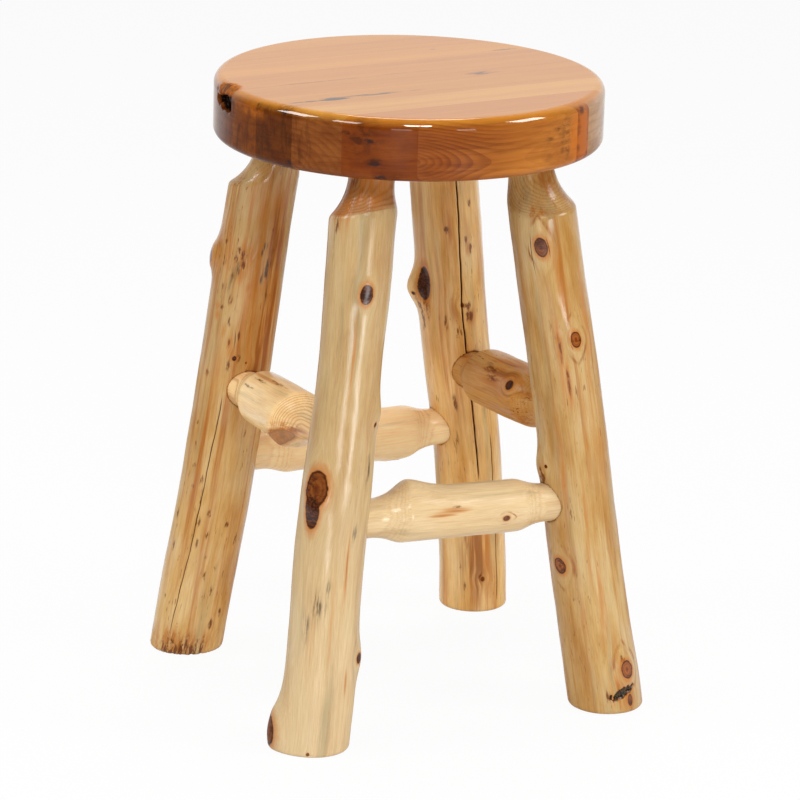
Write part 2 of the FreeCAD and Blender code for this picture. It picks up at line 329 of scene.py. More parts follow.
LEGS: dict[str, LegSpec] = {
    "back_left_leg": LegSpec(
        mortise_heading=138.0, inset=62.5, lean=9.1, lean_heading=137.2, neck=25.0, sway_heading=114.5,
        stations=((0.0, 1.8, 3.4), (0.15, 1.8, 3.4), (0.3, 1.4, 1.9), (0.55, 0.6, 5.4), (0.7, 0.0, 8.8),
                  (0.85, -1.2, 10.9), (1.0, -1.2, 10.8)),
        knots=(Knot(418, 155, 7.0, 16, 18, 9, 9, Heart.BROWN),
               Knot(320, 241, 1.2, 12, 10, 2.6, 2.2, Heart.DARK),
               Knot(315, 261, 0.0, 9, 9, 1.2, 1.1, Heart.RED),
               Knot(231, 60, 3.0, 20, 18, 9, 7, Heart.BROWN, 0.8),
               Knot(101, 20, 2.5, 22, 18, 8, 6, Heart.RED, 0.9)),
        checks=(Check(((283, 232), (191, 225), (93, 220), (14, 211)), 1.0, 2.0),
                Check(((357, 236), (321, 240)), 0.7, 1.0)),
        stains=tinted(
            Stain,
            orange=((424, 226, 22, 18, 1.0), (300, 196, 8, 6, 0.9), (454, 195, 16, 3, 0.9),
                    # The strongest orange patches, at headings 278 to 290, are partly the leg's orange wood and
                    # partly painted shade on the side that the front-left leg shades
                    (370, 278, 70, 17, 2.0), (345, 290, 60, 14, 2.6), (480, 250, 34, 24, 0.9),
                    (440, 283, 60, 15, 1.9), (14, 232, 17, 36, 1.2), (120, 262, 40, 4, 0.4),
                    (545, 220, 18, 40, 0.9), (300, 215, 60, 5, 0.6),
                    *scattered(14, (300.0, 195.0), (150.0, 70.0), (6.0, 2.0), (4.0, 0.0), 1.0)),
            blue=((436, 266, 5, 2.0, 1.6), (429, 263, 4, 1.8, 1.4), (415, 276, 6, 2.8, 2.2),
                  (408, 272, 7, 3.0, 2.4), (402, 268, 6, 1.8, 1.8), (385, 281, 12, 1.6, 1.0),
                  (411, 225, 8, 2.2, 1.4), (402, 219, 9, 2.6, 1.1), (392, 213, 12, 4, 0.6)),
            brown=((430, 222, 4, 2.2, 1.2), (426, 229, 5, 2.0, 1.3), (417, 233, 6, 2.0, 1.2),
                   (421, 218, 4, 2.0, 1.0), (301, 196, 4, 3, 0.7),
                   *((5.0, 202.0 + 8.5 * i, 8.0 + 4.0 * (i % 3), 2.2, 1.15) for i in range(9)),
                   *scattered(36, (60.0, 190.0), (400.0, 100.0), (3.0, 1.0), (1.4, 0.5), 0.8),
                   (142, 274, 4, 2.0, 1.2), (125, 297, 7, 1.8, 1.2), (149, 180, 5, 1.8, 1.1),
                   (115, 187, 6, 1.8, 1.1), (33, 278, 6, 2.0, 1.1), (44, 293, 5, 2.0, 1.0),
                   (71, 269, 6, 1.8, 1.0))),
        torn=(Torn(5, 235, 17, 42, 2.6), Torn(424, 226, 15, 12, 1.1)),
        warmth=0.5, ringed=0.2, shade=0.83, foot_painted_light=0.16),
    "front_left_leg": LegSpec(
        mortise_heading=229.3, inset=59.5, lean=10.4, lean_heading=218.2, neck=12.5, sway_heading=154.0,
        stations=((0.0, -1.0, -2.6), (0.1, -0.4, -2.1), (0.2, -1.4, -0.6), (0.33, -1.2, 1.9),
                  (0.44, -1.4, 1.6), (0.55, -3.4, 1.6), (0.66, -4.8, 1.4), (0.8, -3.5, 2.7),
                  (0.9, -3.0, 4.1), (1.0, -2.4, 5.0)),
        knots=(Knot(17, 158, 12.5, 28, 24, 15, 13, Heart.BROWN), Knot(88, -30, 3.5, 18, 16),
               Knot(90, 319, 0.0, 12, 12, 5, 4.5, Heart.DARK), Knot(249, 208, 3.5, 24, 17),
               Knot(257, 210, 0.0, 24, 17, 17.5, 12, Heart.BROWN),
               Knot(238, 207, 0.0, 20, 14, 20, 8, Heart.DARK), Knot(324, -42, 3.5, 16, 16),
               Knot(315, 308, 0.0, 10, 10, 2.4, 2.0, Heart.DARK),
               Knot(442, 261, 1.8, 12, 11, 9.5, 7.0, Heart.DARK),
               Knot(4, 235, 0.0, 8, 8, 1.6, 1.6, Heart.BROWN),
               Knot(406, 80, 3.0, 20, 18, 9, 7, Heart.BROWN, 0.8)),
        stains=tinted(
            Stain,
            orange=((182, 275, 45, 1.9, 1.4), (150, 262, 70, 9, 0.5), (120, 225, 70, 8, 0.5),
                    (70, 290, 14, 1.7, 1.25), (380, 248, 55, 2.5, 0.75), (302, 294, 30, 3, 0.8),
                    (190, 268, 60, 3, 0.6), (110, 255, 55, 4, 0.55), (520, 195, 22, 20, 1.2),
                    (536, 225, 14, 34, 1.1), (538, 262, 16, 26, 1.1), (546, 240, 10, 40, 1.1),
                    (60, 250, 50, 5, 0.5)),
            blue=((146, 232, 17, 9, 0.85), (162, 245, 11, 5, 0.65), (212, 285, 13, 4, 0.7),
                  (273, 302, 18, 6, 0.7), (125, 212, 20, 5, 0.7), (482, 193, 26, 3, 0.65),
                  (430, 235, 60, 9, 0.28), (340, 225, 60, 10, 0.25)),
            brown=((545, 205, 10, 14, 0.6), (505, 195, 12, 5, 0.6))),
        warmth=-0.22, ringed=0.55, shade=0.725, foot_painted_light=0.13),
    "back_right_leg": LegSpec(
        mortise_heading=49.8, inset=58.5, lean=10.7, lean_heading=34.3, neck=14.0, sway_heading=-26.0,
        stations=((0.0, -0.2, 0.0), (0.1, -0.4, 3.0), (0.27, -0.7, 4.7), (0.38, -0.3, 4.0),
                  (0.5, -0.4, 0.6), (0.6, -0.3, -1.0), (0.75, -0.4, -1.0), (0.9, -0.3, -1.5),
                  (1.0, 0.0, -1.5)),
        knots=(Knot(361, 168, 10.5, 19, 15), Knot(370, 197, 0.0, 22, 12, 18, 6.5, Heart.BARK),
               Knot(357, 180, 0.0, 6, 6, 1.8, 2.0, Heart.DARK),
               Knot(39, 261, 0.0, 9, 9, 2.6, 2.2, Heart.BROWN),
               Knot(349, 262, 0.0, 12, 12, 2.4, 1.8, Heart.BROWN),
               Knot(136, 70, 3.5, 20, 18, 9, 7, Heart.BROWN, 0.8),
               Knot(431, 15, 3.0, 18, 17, 8, 6, Heart.RED, 0.9)),
        checks=(Check(((500, 267.5), (405, 264.4), (346, 261.9), (302, 262.6), (242, 261.6), (150, 261.4)),
                      1.9, 4.0),
                Check(((207, 293), (153, 291), (85, 291), (8, 291.6)), 1.5, 3.0)),
        stains=tinted(
            Stain,
            orange=((337, 274, 12, 8, 1.1), (410, 285, 10, 7, 1.1), (431, 245, 18, 7, 1.1),
                    (345, 250, 16, 7, 0.85), (300, 225, 60, 5, 0.8), (250, 240, 50, 6, 0.8),
                    (190, 262, 60, 6, 0.85), (85, 262, 60, 7, 0.8), (430, 285, 40, 10, 0.6),
                    (60, 232, 40, 6, 1.0), (40, 240, 30, 8, 1.0), (60, 248, 60, 15, 1.8)),
            blue=((80, 235, 40, 5, 0.45), (230, 285, 20, 5, 0.4)),
            brown=((431, 243, 4, 3, 1.1), (460, 289, 5, 1.8, 1.2), (410, 285, 5, 3.5, 1.1),
                   (337, 274, 6, 4.5, 1.1), (334, 186, 22, 3, 1.1), (200, 228, 14, 3, 0.5),
                   (240, 232, 10, 3, 0.7), (345, 198, 14, 4, 0.9), (52, 222, 8, 2, 0.5),
                   (30, 230, 8, 2, 0.5), (40, 258, 7, 3, 0.9), (330, 232, 8, 2, 0.9),
                   (318, 250, 8, 2, 0.8), (348, 272, 6, 4, 0.8), (420, 276, 8, 2, 0.8))),
        warmth=0.32, shade=1.15),
    "front_right_leg": LegSpec(
        mortise_heading=-48.1, inset=65.0, lean=10.1, lean_heading=-41.0, neck=16.0, sway_heading=-75.5,
        stations=((0.0, 1.8, 1.5), (0.06, 2.0, 2.0), (0.16, 0.9, 0.8), (0.3, 0.6, 1.4), (0.44, -0.2, 4.7),
                  (0.5, -0.8, 6.9), (0.65, -1.0, 8.1), (0.8, -1.7, 7.8), (1.0, -2.0, 9.9)),
        knots=(Knot(471, 235, 2.5, 20, 15, 9.5, 6.5, Heart.BROWN, 1.0),
               Knot(380, 271, 2.5, 16, 14, 8, 5.5, Heart.RED, 1.0),
               Knot(149, 201, 2.0, 16, 14, 8, 6.5, Heart.RED, 0.9),
               Knot(45, 287, 2.5, 18, 16, 9, 6.5, Heart.RED, 0.9),
               Knot(13, 287, 0.0, 12, 12, 6.0, 3.0, Heart.BROWN), Knot(246, 176, 4.0, 16, 13),
               Knot(249, 194, 0.0, 8, 8, 1.8, 1.6, Heart.DARK),
               Knot(336, 40, 3.5, 20, 18, 9, 7, Heart.BROWN, 0.8)),
        checks=(Check(((488, 219), (466, 217), (440, 220)), 1.0, 1.0),
                Check(((486, 243), (470, 247), (458, 248)), 1.0, 1.0)),
        pockets=(Pocket(22.0, 275, 5.2, 15, 2.6, 0.36),),
        stains=tinted(
            Stain,
            orange=((22, 268, 16, 14, 1.3), (376, 244, 22, 2.6, 2.0), (337, 250, 22, 2.4, 1.6),
                    (330, 240, 60, 5, 0.75), (420, 262, 45, 6, 0.85), (300, 268, 60, 4, 0.8),
                    (240, 222, 60, 5, 0.8), (190, 250, 60, 5, 0.8), (117, 262, 50, 6, 0.85),
                    (90, 230, 60, 5, 0.6), (470, 250, 30, 5, 0.9), (70, 275, 40, 5, 0.7),
                    (330, 305, 140, 16, 0.8)),
            brown=((19, 250, 7, 1.6, 1.6), (16, 265, 9, 1.6, 0.9), (56, 282, 5, 3, 1.0),
                   # The last brown patch, at place 238 and heading 183, is painted shade: a dark crescent under
                   # the knot's bump
                   (370, 243, 13, 1.6, 0.9), (337, 250, 16, 1.6, 0.9), (238, 183, 8, 4, 1.2))),
        warmth=0.3, shade=0.76),
}

# A stretcher's shade is partly its own tone and partly painted light: above 1 it brightens a stretcher that the
# lamps leave in the seat's shade
STRETCHERS: dict[str, StretcherSpec] = {
    "front_stretcher": StretcherSpec(
        first_leg="front_left_leg", first_height=217.0, second_leg="front_right_leg", second_height=209.2,
        stations=((0.0, -1.0, 0.0), (0.3, 0.5, 1.0), (0.5, -0.5, 0.0), (0.75, -1.0, 0.0), (1.0, -2.5, 0.0)),
        knots=(Knot(78, 100, 7.0, 22, 20), Knot(174, -7, 1.2, 12, 10, 3.6, 2.8, Heart.RED, 0.9),
               Knot(150, 200, 2.0, 16, 14, 6, 5, Heart.RED, 0.8)),
        stains=tinted(
            Stain,
            orange=((118, 19, 17, 2.8, 1.25), (104, 10, 15, 2.4, 1.2), (176, -6, 14, 6, 0.7)),
            brown=((122, 26, 8, 1.4, 0.6),)),
        warmth=-0.42, ringed=0.1, shade=0.94),
    "back_stretcher": StretcherSpec(
        first_leg="back_left_leg", first_height=206.0, second_leg="back_right_leg", second_height=208.5,
        stations=((0.0, -1.0, 0.0), (0.35, -0.5, 0.5), (0.7, 0.0, -0.5), (1.0, -1.0, 0.0)),
        knots=(Knot(105, 30, 3.0, 18, 16, 8, 6, Heart.BROWN, 0.8),
               Knot(190, 250, 2.0, 16, 14, 6, 5, Heart.RED, 0.8)),
        warmth=-0.36, shade=1.28),
    "left_stretcher": StretcherSpec(
        first_leg="back_left_leg", first_height=283.9, second_leg="front_left_leg", second_height=299.2,
        stations=((0.0, 0.0, 0.0), (0.3, 1.0, 1.0), (0.6, 1.5, 4.5), (0.8, 2.0, 7.0), (1.0, 0.5, 7.5)),
        knots=(Knot(165, -38, 4.5, 18, 15, 16, 9, Heart.PALE),
               Knot(120, 190, 2.0, 16, 14, 6, 5, Heart.RED, 0.8)),
        stains=tinted(
            Stain,
            orange=((100, 75, 40, 3, 0.9), (186, -12, 24, 9, 2.0)),
            blue=((120, -20, 14, 5, 0.4),),
            brown=((97, 62, 14, 2, 0.8), (125, 78, 25, 2.5, 0.6), (88, 40, 12, 1.6, 0.8),
                   (165, -22, 18, 4, 0.7))),
        warmth=-0.26, ringed=0.4, shade=1.28, sway_heading=-20.0, second_neck=18.0),
    "right_stretcher": StretcherSpec(
        first_leg="back_right_leg", first_height=274.5, second_leg="front_right_leg", second_height=296.1,
        stations=((0.0, 0.5, 0.0), (0.35, 2.5, 0.0), (0.65, 2.5, 0.0), (1.0, 0.5, 0.0)),
        knots=(Knot(174, 148, 2.0, 14, 13), Knot(181, 150, 0.0, 14, 13, 6, 4.5, Heart.DARK, 0.7),
               Knot(90, 20, 2.5, 18, 16, 7, 6, Heart.BROWN, 0.8)),
        stains=tinted(
            Stain,
            orange=((140, 146, 34, 10, 1.0), (100, 140, 30, 8, 0.8), (150, 128, 40, 20, 2.1)),
            blue=((118, 122, 12, 5, 0.55),),
            brown=((128, 136, 20, 4, 0.75), (140, 150, 14, 4, 0.8))),
        warmth=1.0, shade=0.96, gloss=0.25),
}


def unit(vector: Array) -> Array:
    """A vector at length one."""
    return vector / np.linalg.norm(vector)


def on_circle(radius: float, heading: float) -> Array:
    """A point of a level circle round the Z axis."""
    turn = math.radians(heading)
    return np.array([radius * math.cos(turn), radius * math.sin(turn), 0.0])


def bell(values: Array) -> Array:
    """The bell curve exp(-x squared)."""
    return np.exp(-values**2)


def smooth_step(values: Array, low: float, high: float) -> Array:
    """Rises from 0 at low to 1 at high on a cubic with level ends."""
    share = np.clip((values - low) / (high - low), 0.0, 1.0)
    return share * share * (3.0 - 2.0 * share)


def wrapped(degrees: Array) -> Array:
    """Angles brought to between -180 and 180 degrees."""
    return (degrees + 180.0) % 360.0 - 180.0


def halved(holding: Array, failing: Array, holds: Callable[[Array], Array]) -> Array:
    """Where a condition stops holding between two ends, found by halving.

    Args:
        holding: ends where it holds.
        failing: ends where it doesn't.
        holds: tells for an array of values where it holds.

    Returns:
        The last values where it holds.
    """
    for _ in range(HALVINGS):
        middle = 0.5 * (holding + failing)
        here = holds(middle)
        holding = np.where(here, middle, holding)
        failing = np.where(here, failing, middle)
    return holding


def along_stations(stations: Stations, shares: Array, column: int) -> Array:
    """One column of a station list along a log, on a cubic through the stations.

    The slope at a station is that of the line between its neighbours.

    Args:
        stations: share of the length, swell and sway at each station.
        shares: shares of the length to read at.
        column: SWELL or SWAY.

    Returns:
        The values at the shares.
    """
    table = np.array(stations)
    knots, values = table[:, 0], table[:, column]
    after = np.append(np.arange(1, len(knots)), len(knots) - 1)
    before = np.insert(np.arange(len(knots) - 1), 0, 0)
    slopes = (values[after] - values[before]) / (knots[after] - knots[before])
    shares = np.clip(shares, knots[0], knots[-1])
    low = np.clip(np.searchsorted(knots, shares, side="right") - 1, 0, len(knots) - 2)
    span = knots[low + 1] - knots[low]
    part = (shares - knots[low]) / span
    rest = 1.0 - part
    ends = values[low] * (1 + 2 * part) * rest**2 + values[low + 1] * (3 - 2 * part) * part**2
    return ends + span * part * rest * (slopes[low] * rest - slopes[low + 1] * part)


def ripple(headings: Array, places: Array, seed: int, waves: Waves) -> Array:
    """A smooth random field on a log, between about plus and minus the waves' height.

    It is a sum of cosine waves with whole numbers of turns round the log, so that it
    closes on itself, and random wavelengths and phases along it.

    Args:
        headings: directions round the log in degrees.
        places: distances along the log.
        seed: picks the waves.
        waves: how high, close and many they are.

    Returns:
        The field, with the shape of the two inputs together.
    """
    draw = np.random.default_rng(seed)
    total = 0.0
    for _ in range(waves.count):
        turns = draw.integers(1, waves.turns + 1)
        rate = 2.0 * math.pi / (waves.length * draw.uniform(1.0, waves.longest)) * draw.choice([-1.0, 1.0])
        phase = draw.uniform(0.0, 2.0 * math.pi)
        total = total + np.cos(np.radians(headings) * turns + places * rate + phase)
    return waves.height * total / math.sqrt(waves.count)


def stain_layers(shape: tuple[int, ...], spreads: Iterable[tuple[Tint, Array]]) -> Array:
    """Stains gathered by tint, with the strongest one at each point.

    Args:
        shape: rings by columns of the mesh.
        spreads: the tint of each stain and how strong it is at each point.

    Returns:
        A colour for each point, with a tint in each of red, green and blue.
    """
    layers = np.zeros(shape + (4,))
    layers[..., 3] = 1.0
    for tint, spread in spreads:
        layers[..., tint.value] = np.maximum(layers[..., tint.value], spread)
    return layers


def grid_mesh(name: str, rings: Array, channels: dict[str, Array]) -> bpy.types.Object:
    """A closed tube of rings with a fan at each end, as a mesh object.

    Ring i joins ring i + 1 by quads that wrap round, and the middle of the first and
    the last ring closes it with triangles.

    Args:
        name: the piece's name.
        rings: points in millimetres, shaped rings by columns by 3, columns turning so
            that the normals point outwards when the rings advance.
        channels: values for point attributes, shaped rings by columns and 1, 3 or 4 deep.

    Returns:
        The new object, linked to the scene.
    """
    rows, columns = rings.shape[:2]
    ends = np.stack([rings[0].mean(axis=0), rings[-1].mean(axis=0)])
    points = np.concatenate([rings.reshape(-1, 3), ends]) * MM
    here = np.arange(columns)
    following = (here + 1) % columns
    base = (np.arange(rows - 1) * columns)[:, None]
    above = base + columns
    quads = np.stack([base + here, base + following, above + following, above + here], axis=-1)
    first_hub, last_hub = rows * columns, rows * columns + 1
    last_base = (rows - 1) * columns
    first_fan = np.stack([np.full(columns, first_hub), following, here], axis=-1)
    last_fan = np.stack([np.full(columns, last_hub), last_base + here, last_base + following], axis=-1)
    corners = np.concatenate([quads.ravel(), first_fan.ravel(), last_fan.ravel()])
    totals = np.concatenate([np.full((rows - 1) * columns, 4), np.full(2 * columns, 3)])
    starts = np.concatenate([[0], np.cumsum(totals)[:-1]])
    mesh = bpy.data.meshes.new(name)
    mesh.vertices.add(len(points))
    mesh.vertices.foreach_set("co", points.ravel())
    mesh.loops.add(len(corners))
    mesh.loops.foreach_set("vertex_index", corners.astype(np.int32))
    mesh.polygons.add(len(totals))
    mesh.polygons.foreach_set("loop_start", starts.astype(np.int32))
    mesh.polygons.foreach_set("use_smooth", np.ones(len(totals), bool))
    mesh.update(calc_edges=True)
    mesh.validate()
    kinds = {1: ("FLOAT", "value"), 3: ("FLOAT_VECTOR", "vector"), 4: ("FLOAT_COLOR", "color")}
    for label, values in channels.items():
        depth = 1 if values.ndim == 2 else values.shape[2]
        flat = values.reshape(rows * columns, depth)
        hubs = [flat[:columns].mean(axis=0)[None], flat[-columns:].mean(axis=0)[None]]
        kind, slot = kinds[depth]
        layer = mesh.attributes.new(label, kind, "POINT")
        layer.data.foreach_set(slot, np.concatenate([flat, *hubs]).astype(np.float32).ravel())
    piece = bpy.data.objects.new(name, mesh)
    bpy.context.scene.collection.objects.link(piece)
    return piece


@dataclass(frozen=True)
class Tenon:
    """A round tenon on one end of a log, on the straight line of its run.

    root is the place where the hollow shoulder meets the tenon, tip the place of its
    end, and the tenon points towards growing places where tip is past root.
    """

    root: float
    tip: float
    radius: float
    shoulder: float = SHOULDER_RADIUS * math.sin(math.radians(SHOULDER_TURN))

    @property
    def sign(self) -> float:
        """1 where the tenon points towards growing places, otherwise -1."""
        return 1.0 if self.tip > self.root else -1.0

    @property
    def clear(self) -> float:
        """The place where the hollow shoulder has left the log."""
        return self.root - self.sign * self.shoulder

    @property
    def chamfer(self) -> float:
        """The place where the tip's chamfer starts."""
        return self.tip - self.sign * TENON_CHAMFER

    def cutter(self, places: Array) -> Array:
        """Radius that the tenon cutter leaves at places: a cylinder, then a hollow arc that opens."""
        back = np.clip((self.root - places) * self.sign, 0.0, self.shoulder)
        return self.radius + SHOULDER_RADIUS - np.sqrt(SHOULDER_RADIUS**2 - back**2)


@dataclass(frozen=True)
class Mortise:
    """A round hole that a stretcher's tenon sits in.

    centre is on the leg's own centre line, outward points along the stretcher out of
    the leg, and depth is how far the hole runs past the centre.
    """

    centre: Array
    outward: Array
    radius: float
    depth: float


@dataclass
class PeeledLog:
    """A peeled log as a grid of rings along a straight run.

    The run starts at start, and a place on it is measured so that its end is at length.
    side and up are the directions of headings 0 and 90 in every ring. The last tenon is at
    the far end, and a log with only that one stands on a foot.
    """

    name: str
    seed: int
    start: Array
    run: Array
    length: float
    side: Array
    up: Array
    radius: float
    spec: LogSpec
    tenons: tuple[Tenon, ...]
    mortises: list[Mortise] = field(default_factory=list)
    columns: int = 224
    row_step: float = 1.6

    @property
    def foot(self) -> bool:
        """Whether the log stands on a foot."""
        return len(self.tenons) == 1

    def towards(self, headings: Array) -> Array:
        """Directions in the ring plane at headings."""
        turn = np.radians(headings)[..., None]
        return self.side * np.cos(turn) + self.up * np.sin(turn)

    def shares(self, places: Array) -> Array:
        """Places as shares of the length."""
        return np.asarray(places, float) / self.length

    def centre(self, places: Array) -> Array:
        """Points on the swaying centre line of the log.

        Args:
            places: distances along the log.

        Returns:
            The points, on the straight run and the sway to one side.
        """
        sway = along_stations(self.spec.stations, self.shares(places), SWAY)[..., None]
        axis = self.start + self.run * self.shares(places)[..., None]
        return axis + self.towards(np.array(self.spec.sway_heading)) * sway

    def girth(self, places: Array) -> Array:
        """Radius of the log without its knots."""
        return self.radius + along_stations(self.spec.stations, self.shares(places), SWELL)

    def around(self, heading: Union[float, Array], headings: Array) -> Array:
        """Distances round the log from a heading to others."""
        return np.radians(wrapped(headings - heading)) * self.radius

    def away(self, patch: Union[Knot, Stain, Torn], headings: Array, places: Array) -> Array:
        """Distances from the middle of a patch in its half-sizes, 1 on its rim."""
        return np.hypot(self.around(patch.heading, headings) / patch.wide, (places - patch.place) / patch.tall)

    def bark(self, headings: Array, places: Array) -> Array:
        """Radius of the peeled surface.

        It is the girth with a slight oval, a bell-shaped collar for every knot, patches of
        torn fibres and the shallow waves that a drawknife leaves.

        Args:
            headings: directions round the log in degrees.
            places: distances along the log.

        Returns:
            The radii at the headings and places.
        """
        total = self.girth(places) + OVAL * np.cos(np.radians(2.0 * headings))
        for knot in self.spec.knots:
            along = bell((places - knot.place) / knot.reach)
            total = total + knot.rise * along * bell(self.around(knot.heading, headings) / knot.width)
        for patch in self.spec.torn:
            fibres = np.abs(ripple(headings, places, self.seed + 2, TORN_FIBRES))
            total = total - patch.depth * bell(self.away(patch, headings, places)) * fibres
        total = total + ripple(headings, places, self.seed, DRAWKNIFE)
        return total + ripple(headings, places, self.seed + 1, FINE_MARKS)

    def check_heading(self, check: Check, places: Array) -> Array:
        """Heading of a drying crack, with a slight wander.

        Args:
            check: the crack.
            places: distances along the log.

        Returns:
            The headings at the places, in degrees.
        """
        path = tuple((place, heading, 0.0) for place, heading in sorted(check.path))
        (slow, long), (quick, short) = CRACK_WANDER
        wander = slow * np.sin(places / long + self.seed) + quick * np.sin(places / short)
        return along_stations(path, places, SWELL) + wander

    def check_extent(self, check: Check, places: Array) -> Array:
        """How open a drying crack is along its length.

        Args:
            check: the crack.
            places: distances along the log.

        Returns:
            1 along the crack, fading to 0 past its ends.
        """
        ends = [place for place, _ in check.path]
        low, high = min(ends), max(ends)
        opening = smooth_step(places, low - CRACK_PAST, low + CRACK_FADE)
        return opening * (1.0 - smooth_step(places, high - CRACK_FADE, high + CRACK_PAST))

    def column_headings(self) -> Array:
        """Headings of the grid's columns.

        Returns:
            Even steps, and close ones along every drying crack, in rising order.
        """
        headings = np.arange(self.columns) * 360.0 / self.columns
        for check in self.spec.checks:
            offsets = np.degrees(CRACK_COLUMNS * check.width / self.radius)
            apart = np.abs(self.around(check.heading, headings)) > CRACK_CLEAR * check.width
            headings = np.concatenate([headings[apart], (check.heading + offsets) % 360.0])
        return np.sort(headings)

    def bent_headings(self, headings: Array, places: Array) -> Array:
        """Column headings moved sideways so that close columns follow their drying crack.

        Args:
            headings: headings of the columns.
            places: distances along the log, shaped rings by columns.

        Returns:
            The moved headings, shaped rings by columns.
        """
        moved = np.broadcast_to(headings, places.shape)
        for check in self.spec.checks:
            drift = self.check_heading(check, places) - check.heading
            moved = moved + drift * bell(wrapped(headings - check.heading) / CRACK_PULL)
        return moved

    def groove(self, headings: Array, places: Array) -> tuple[Array, Array]:
        """Shape of the drying cracks.

        Args:
            headings: directions round the log in degrees.
            places: distances along the log.

        Returns:
            How deep they are, and how far inside one each point lies, from 0 to 1.
        """
        depth, inside = np.zeros_like(headings), np.zeros_like(headings)
        for check in self.spec.checks:
            away = np.abs(self.around(self.check_heading(check, places), headings))
            shape = np.clip(1.0 - away / (CRACK_HALF * check.width), 0.0, 1.0)
            shape = shape * self.check_extent(check, places)
            depth = np.maximum(depth, check.depth * shape)
            inside = np.maximum(inside, np.sqrt(shape))
        return depth, inside

    def flaws(self, headings: Array, places: Array) -> tuple[Array, Array]:
        """Shape of the drying cracks, the hearts of the knots and the bark pockets.

        A heart is a bell-shaped dish with a raised lip, and a pocket a ragged, flat-floored pit.

        Args:
            headings: directions round the log in degrees.
            places: distances along the log.

        Returns:
            How deep they are, and how far inside one each point lies, from 0 to 1 in a crack
            and to POCKET_DARK in a pocket.
        """
        inset, inside = self.groove(headings, places)
        for knot in self.spec.knots:
            if knot.tall:
                ring = self.away(knot, headings, places)
                sunk = BARK_HEART_DEPTH if knot.heart is Heart.BARK else HEART_DEPTH * knot.wide
                lip = HEART_LIP * knot.wide * bell((ring - LIP_AWAY) / LIP_SPREAD)
                inset = inset + sunk * bell(ring / HEART_SPREAD) - lip
        for pocket in self.spec.pockets:
            around = self.around(pocket.heading, headings)
            along = places - pocket.place - pocket.slope * around
            ragged = ripple(headings, places, self.seed + 3, RAGGED_BARK)
            away = np.hypot(around / pocket.wide, along / pocket.tall) + ragged
            sunk = 1.0 - smooth_step(away, POCKET_FLOOR, 1.0)
            inset = inset + pocket.depth * sunk
            inside = np.maximum(inside, POCKET_DARK * sunk)
        return inset, inside

    def cut_excess(self, headings: Array, places: Array, radii: Array) -> Array:
        """How far points stand outside the nearest tenon cutter.

        Args:
            headings: directions round the log in degrees.
            places: distances along the log.
            radii: distances from its centre line.

        Returns:
            The distances, below 0 where the cutter misses the points.
        """
        points = self.centre(places) + self.towards(headings) * radii[..., None]
        line = unit(self.run)
        offsets = points - self.start
        along = offsets @ line
        distance = np.linalg.norm(offsets - along[..., None] * line, axis=-1)
        scale = self.length / np.linalg.norm(self.run)
        limits = [tenon.cutter(along * scale) for tenon in self.tenons]
        return distance - np.min(limits, axis=0)

    def crease(self, tenon: Tenon, headings: Array) -> Array:
        """The place in every column where a tenon's shoulder meets the peeled surface."""
        root, clear = np.full_like(headings, tenon.root), np.full_like(headings, tenon.clear)
        return halved(root, clear, lambda at: self.cut_excess(headings, at, self.bark(headings, at)) > 0.0)

    def cut_radius(self, headings: Array, places: Array, bark: Array) -> Array:
        """Radius left by the tenon cutters, no more than that of the bark and a margin."""
        widest = bark + 2.0 * CREASE_ROUND
        return halved(widest, np.zeros_like(bark), lambda radii: self.cut_excess(headings, places, radii) > 0.0)

    def place_rows(self, headings: Array) -> Array:
        """Places of every ring in every column, so that the shoulders' creases have their own lines.

        The rings run through the foot's rounding or the near tenon, the peeled body between
        the creases, and the far tenon.

        Args:
            headings: headings of the columns.

        Returns:
            The places, shaped rings by columns.
        """
        *near, far = self.tenons
        if self.foot:
            turns = np.radians(np.linspace(0.0, 90.0, FOOT_ROWS))
            first = np.outer(FOOT_ROUND * (1.0 - np.cos(turns)), np.ones_like(headings))
            low = np.full_like(headings, FOOT_ROUND)
        else:
            first = self.tenon_rows(near[0], headings)[::-1]
            low = self.crease(near[0], headings)
        high = self.crease(far, headings)
        count = int((high.mean() - low.mean()) / self.row_step)
        body = low + (high - low) * np.linspace(0.0, 1.0, count + 1)[1:-1, None]
        return np.concatenate([first, body, self.tenon_rows(far, headings)])

    def tenon_rows(self, tenon: Tenon, headings: Array) -> Array:
        """Ring places of one tenon, from its crease on the peeled surface to its tip.

        Args:
            tenon: the tenon.
            headings: headings of the columns.

        Returns:
            The places, shaped rings by columns.
        """
        crease = self.crease(tenon, headings)
        shoulder = crease + (tenon.root - crease) * np.linspace(0.0, 1.0, SHOULDER_ROWS)[:, None]
        neck = tenon.root + (tenon.chamfer - tenon.root) * np.linspace(0.0, 1.0, NECK_ROWS)[1:, None]
        tip = np.full((1, len(headings)), tenon.tip)
        return np.concatenate([shoulder, neck * np.ones_like(headings), tip])

    def rings(self) -> tuple[Array, dict[str, Array]]:
        """The whole grid.

        The cutters' radius and the bark's are joined by a smooth minimum, which rounds the
        crease between them.

        Returns:
            Its points in millimetres, and the values that dress it.
        """
        columns = self.column_headings()
        places = self.place_rows(columns)
        headings = self.bent_headings(columns[None, :], places)
        bark = self.bark(headings, places)
        cut = self.cut_radius(headings, places, bark)
        depth = np.maximum(bark - cut, 0.0)
        share = np.clip(0.5 + 0.5 * (cut - bark) / CREASE_ROUND, 0.0, 1.0)
        radii = cut + (bark - cut) * share - CREASE_ROUND * share * (1.0 - share)
        inset, inside = self.flaws(headings, places)
        grown = depth < GROWN_DEPTH
        radii = self.trimmed(places, radii - inset * grown)
        points, pit = self.with_mortises(self.ring_points(headings, places, radii))
        # The mortise pits join the grooves, so the finish darkens them as painted shade round the tenons
        groove = np.maximum(inside * grown, pit)
        return points, self.channels(headings, places, radii, depth, groove)

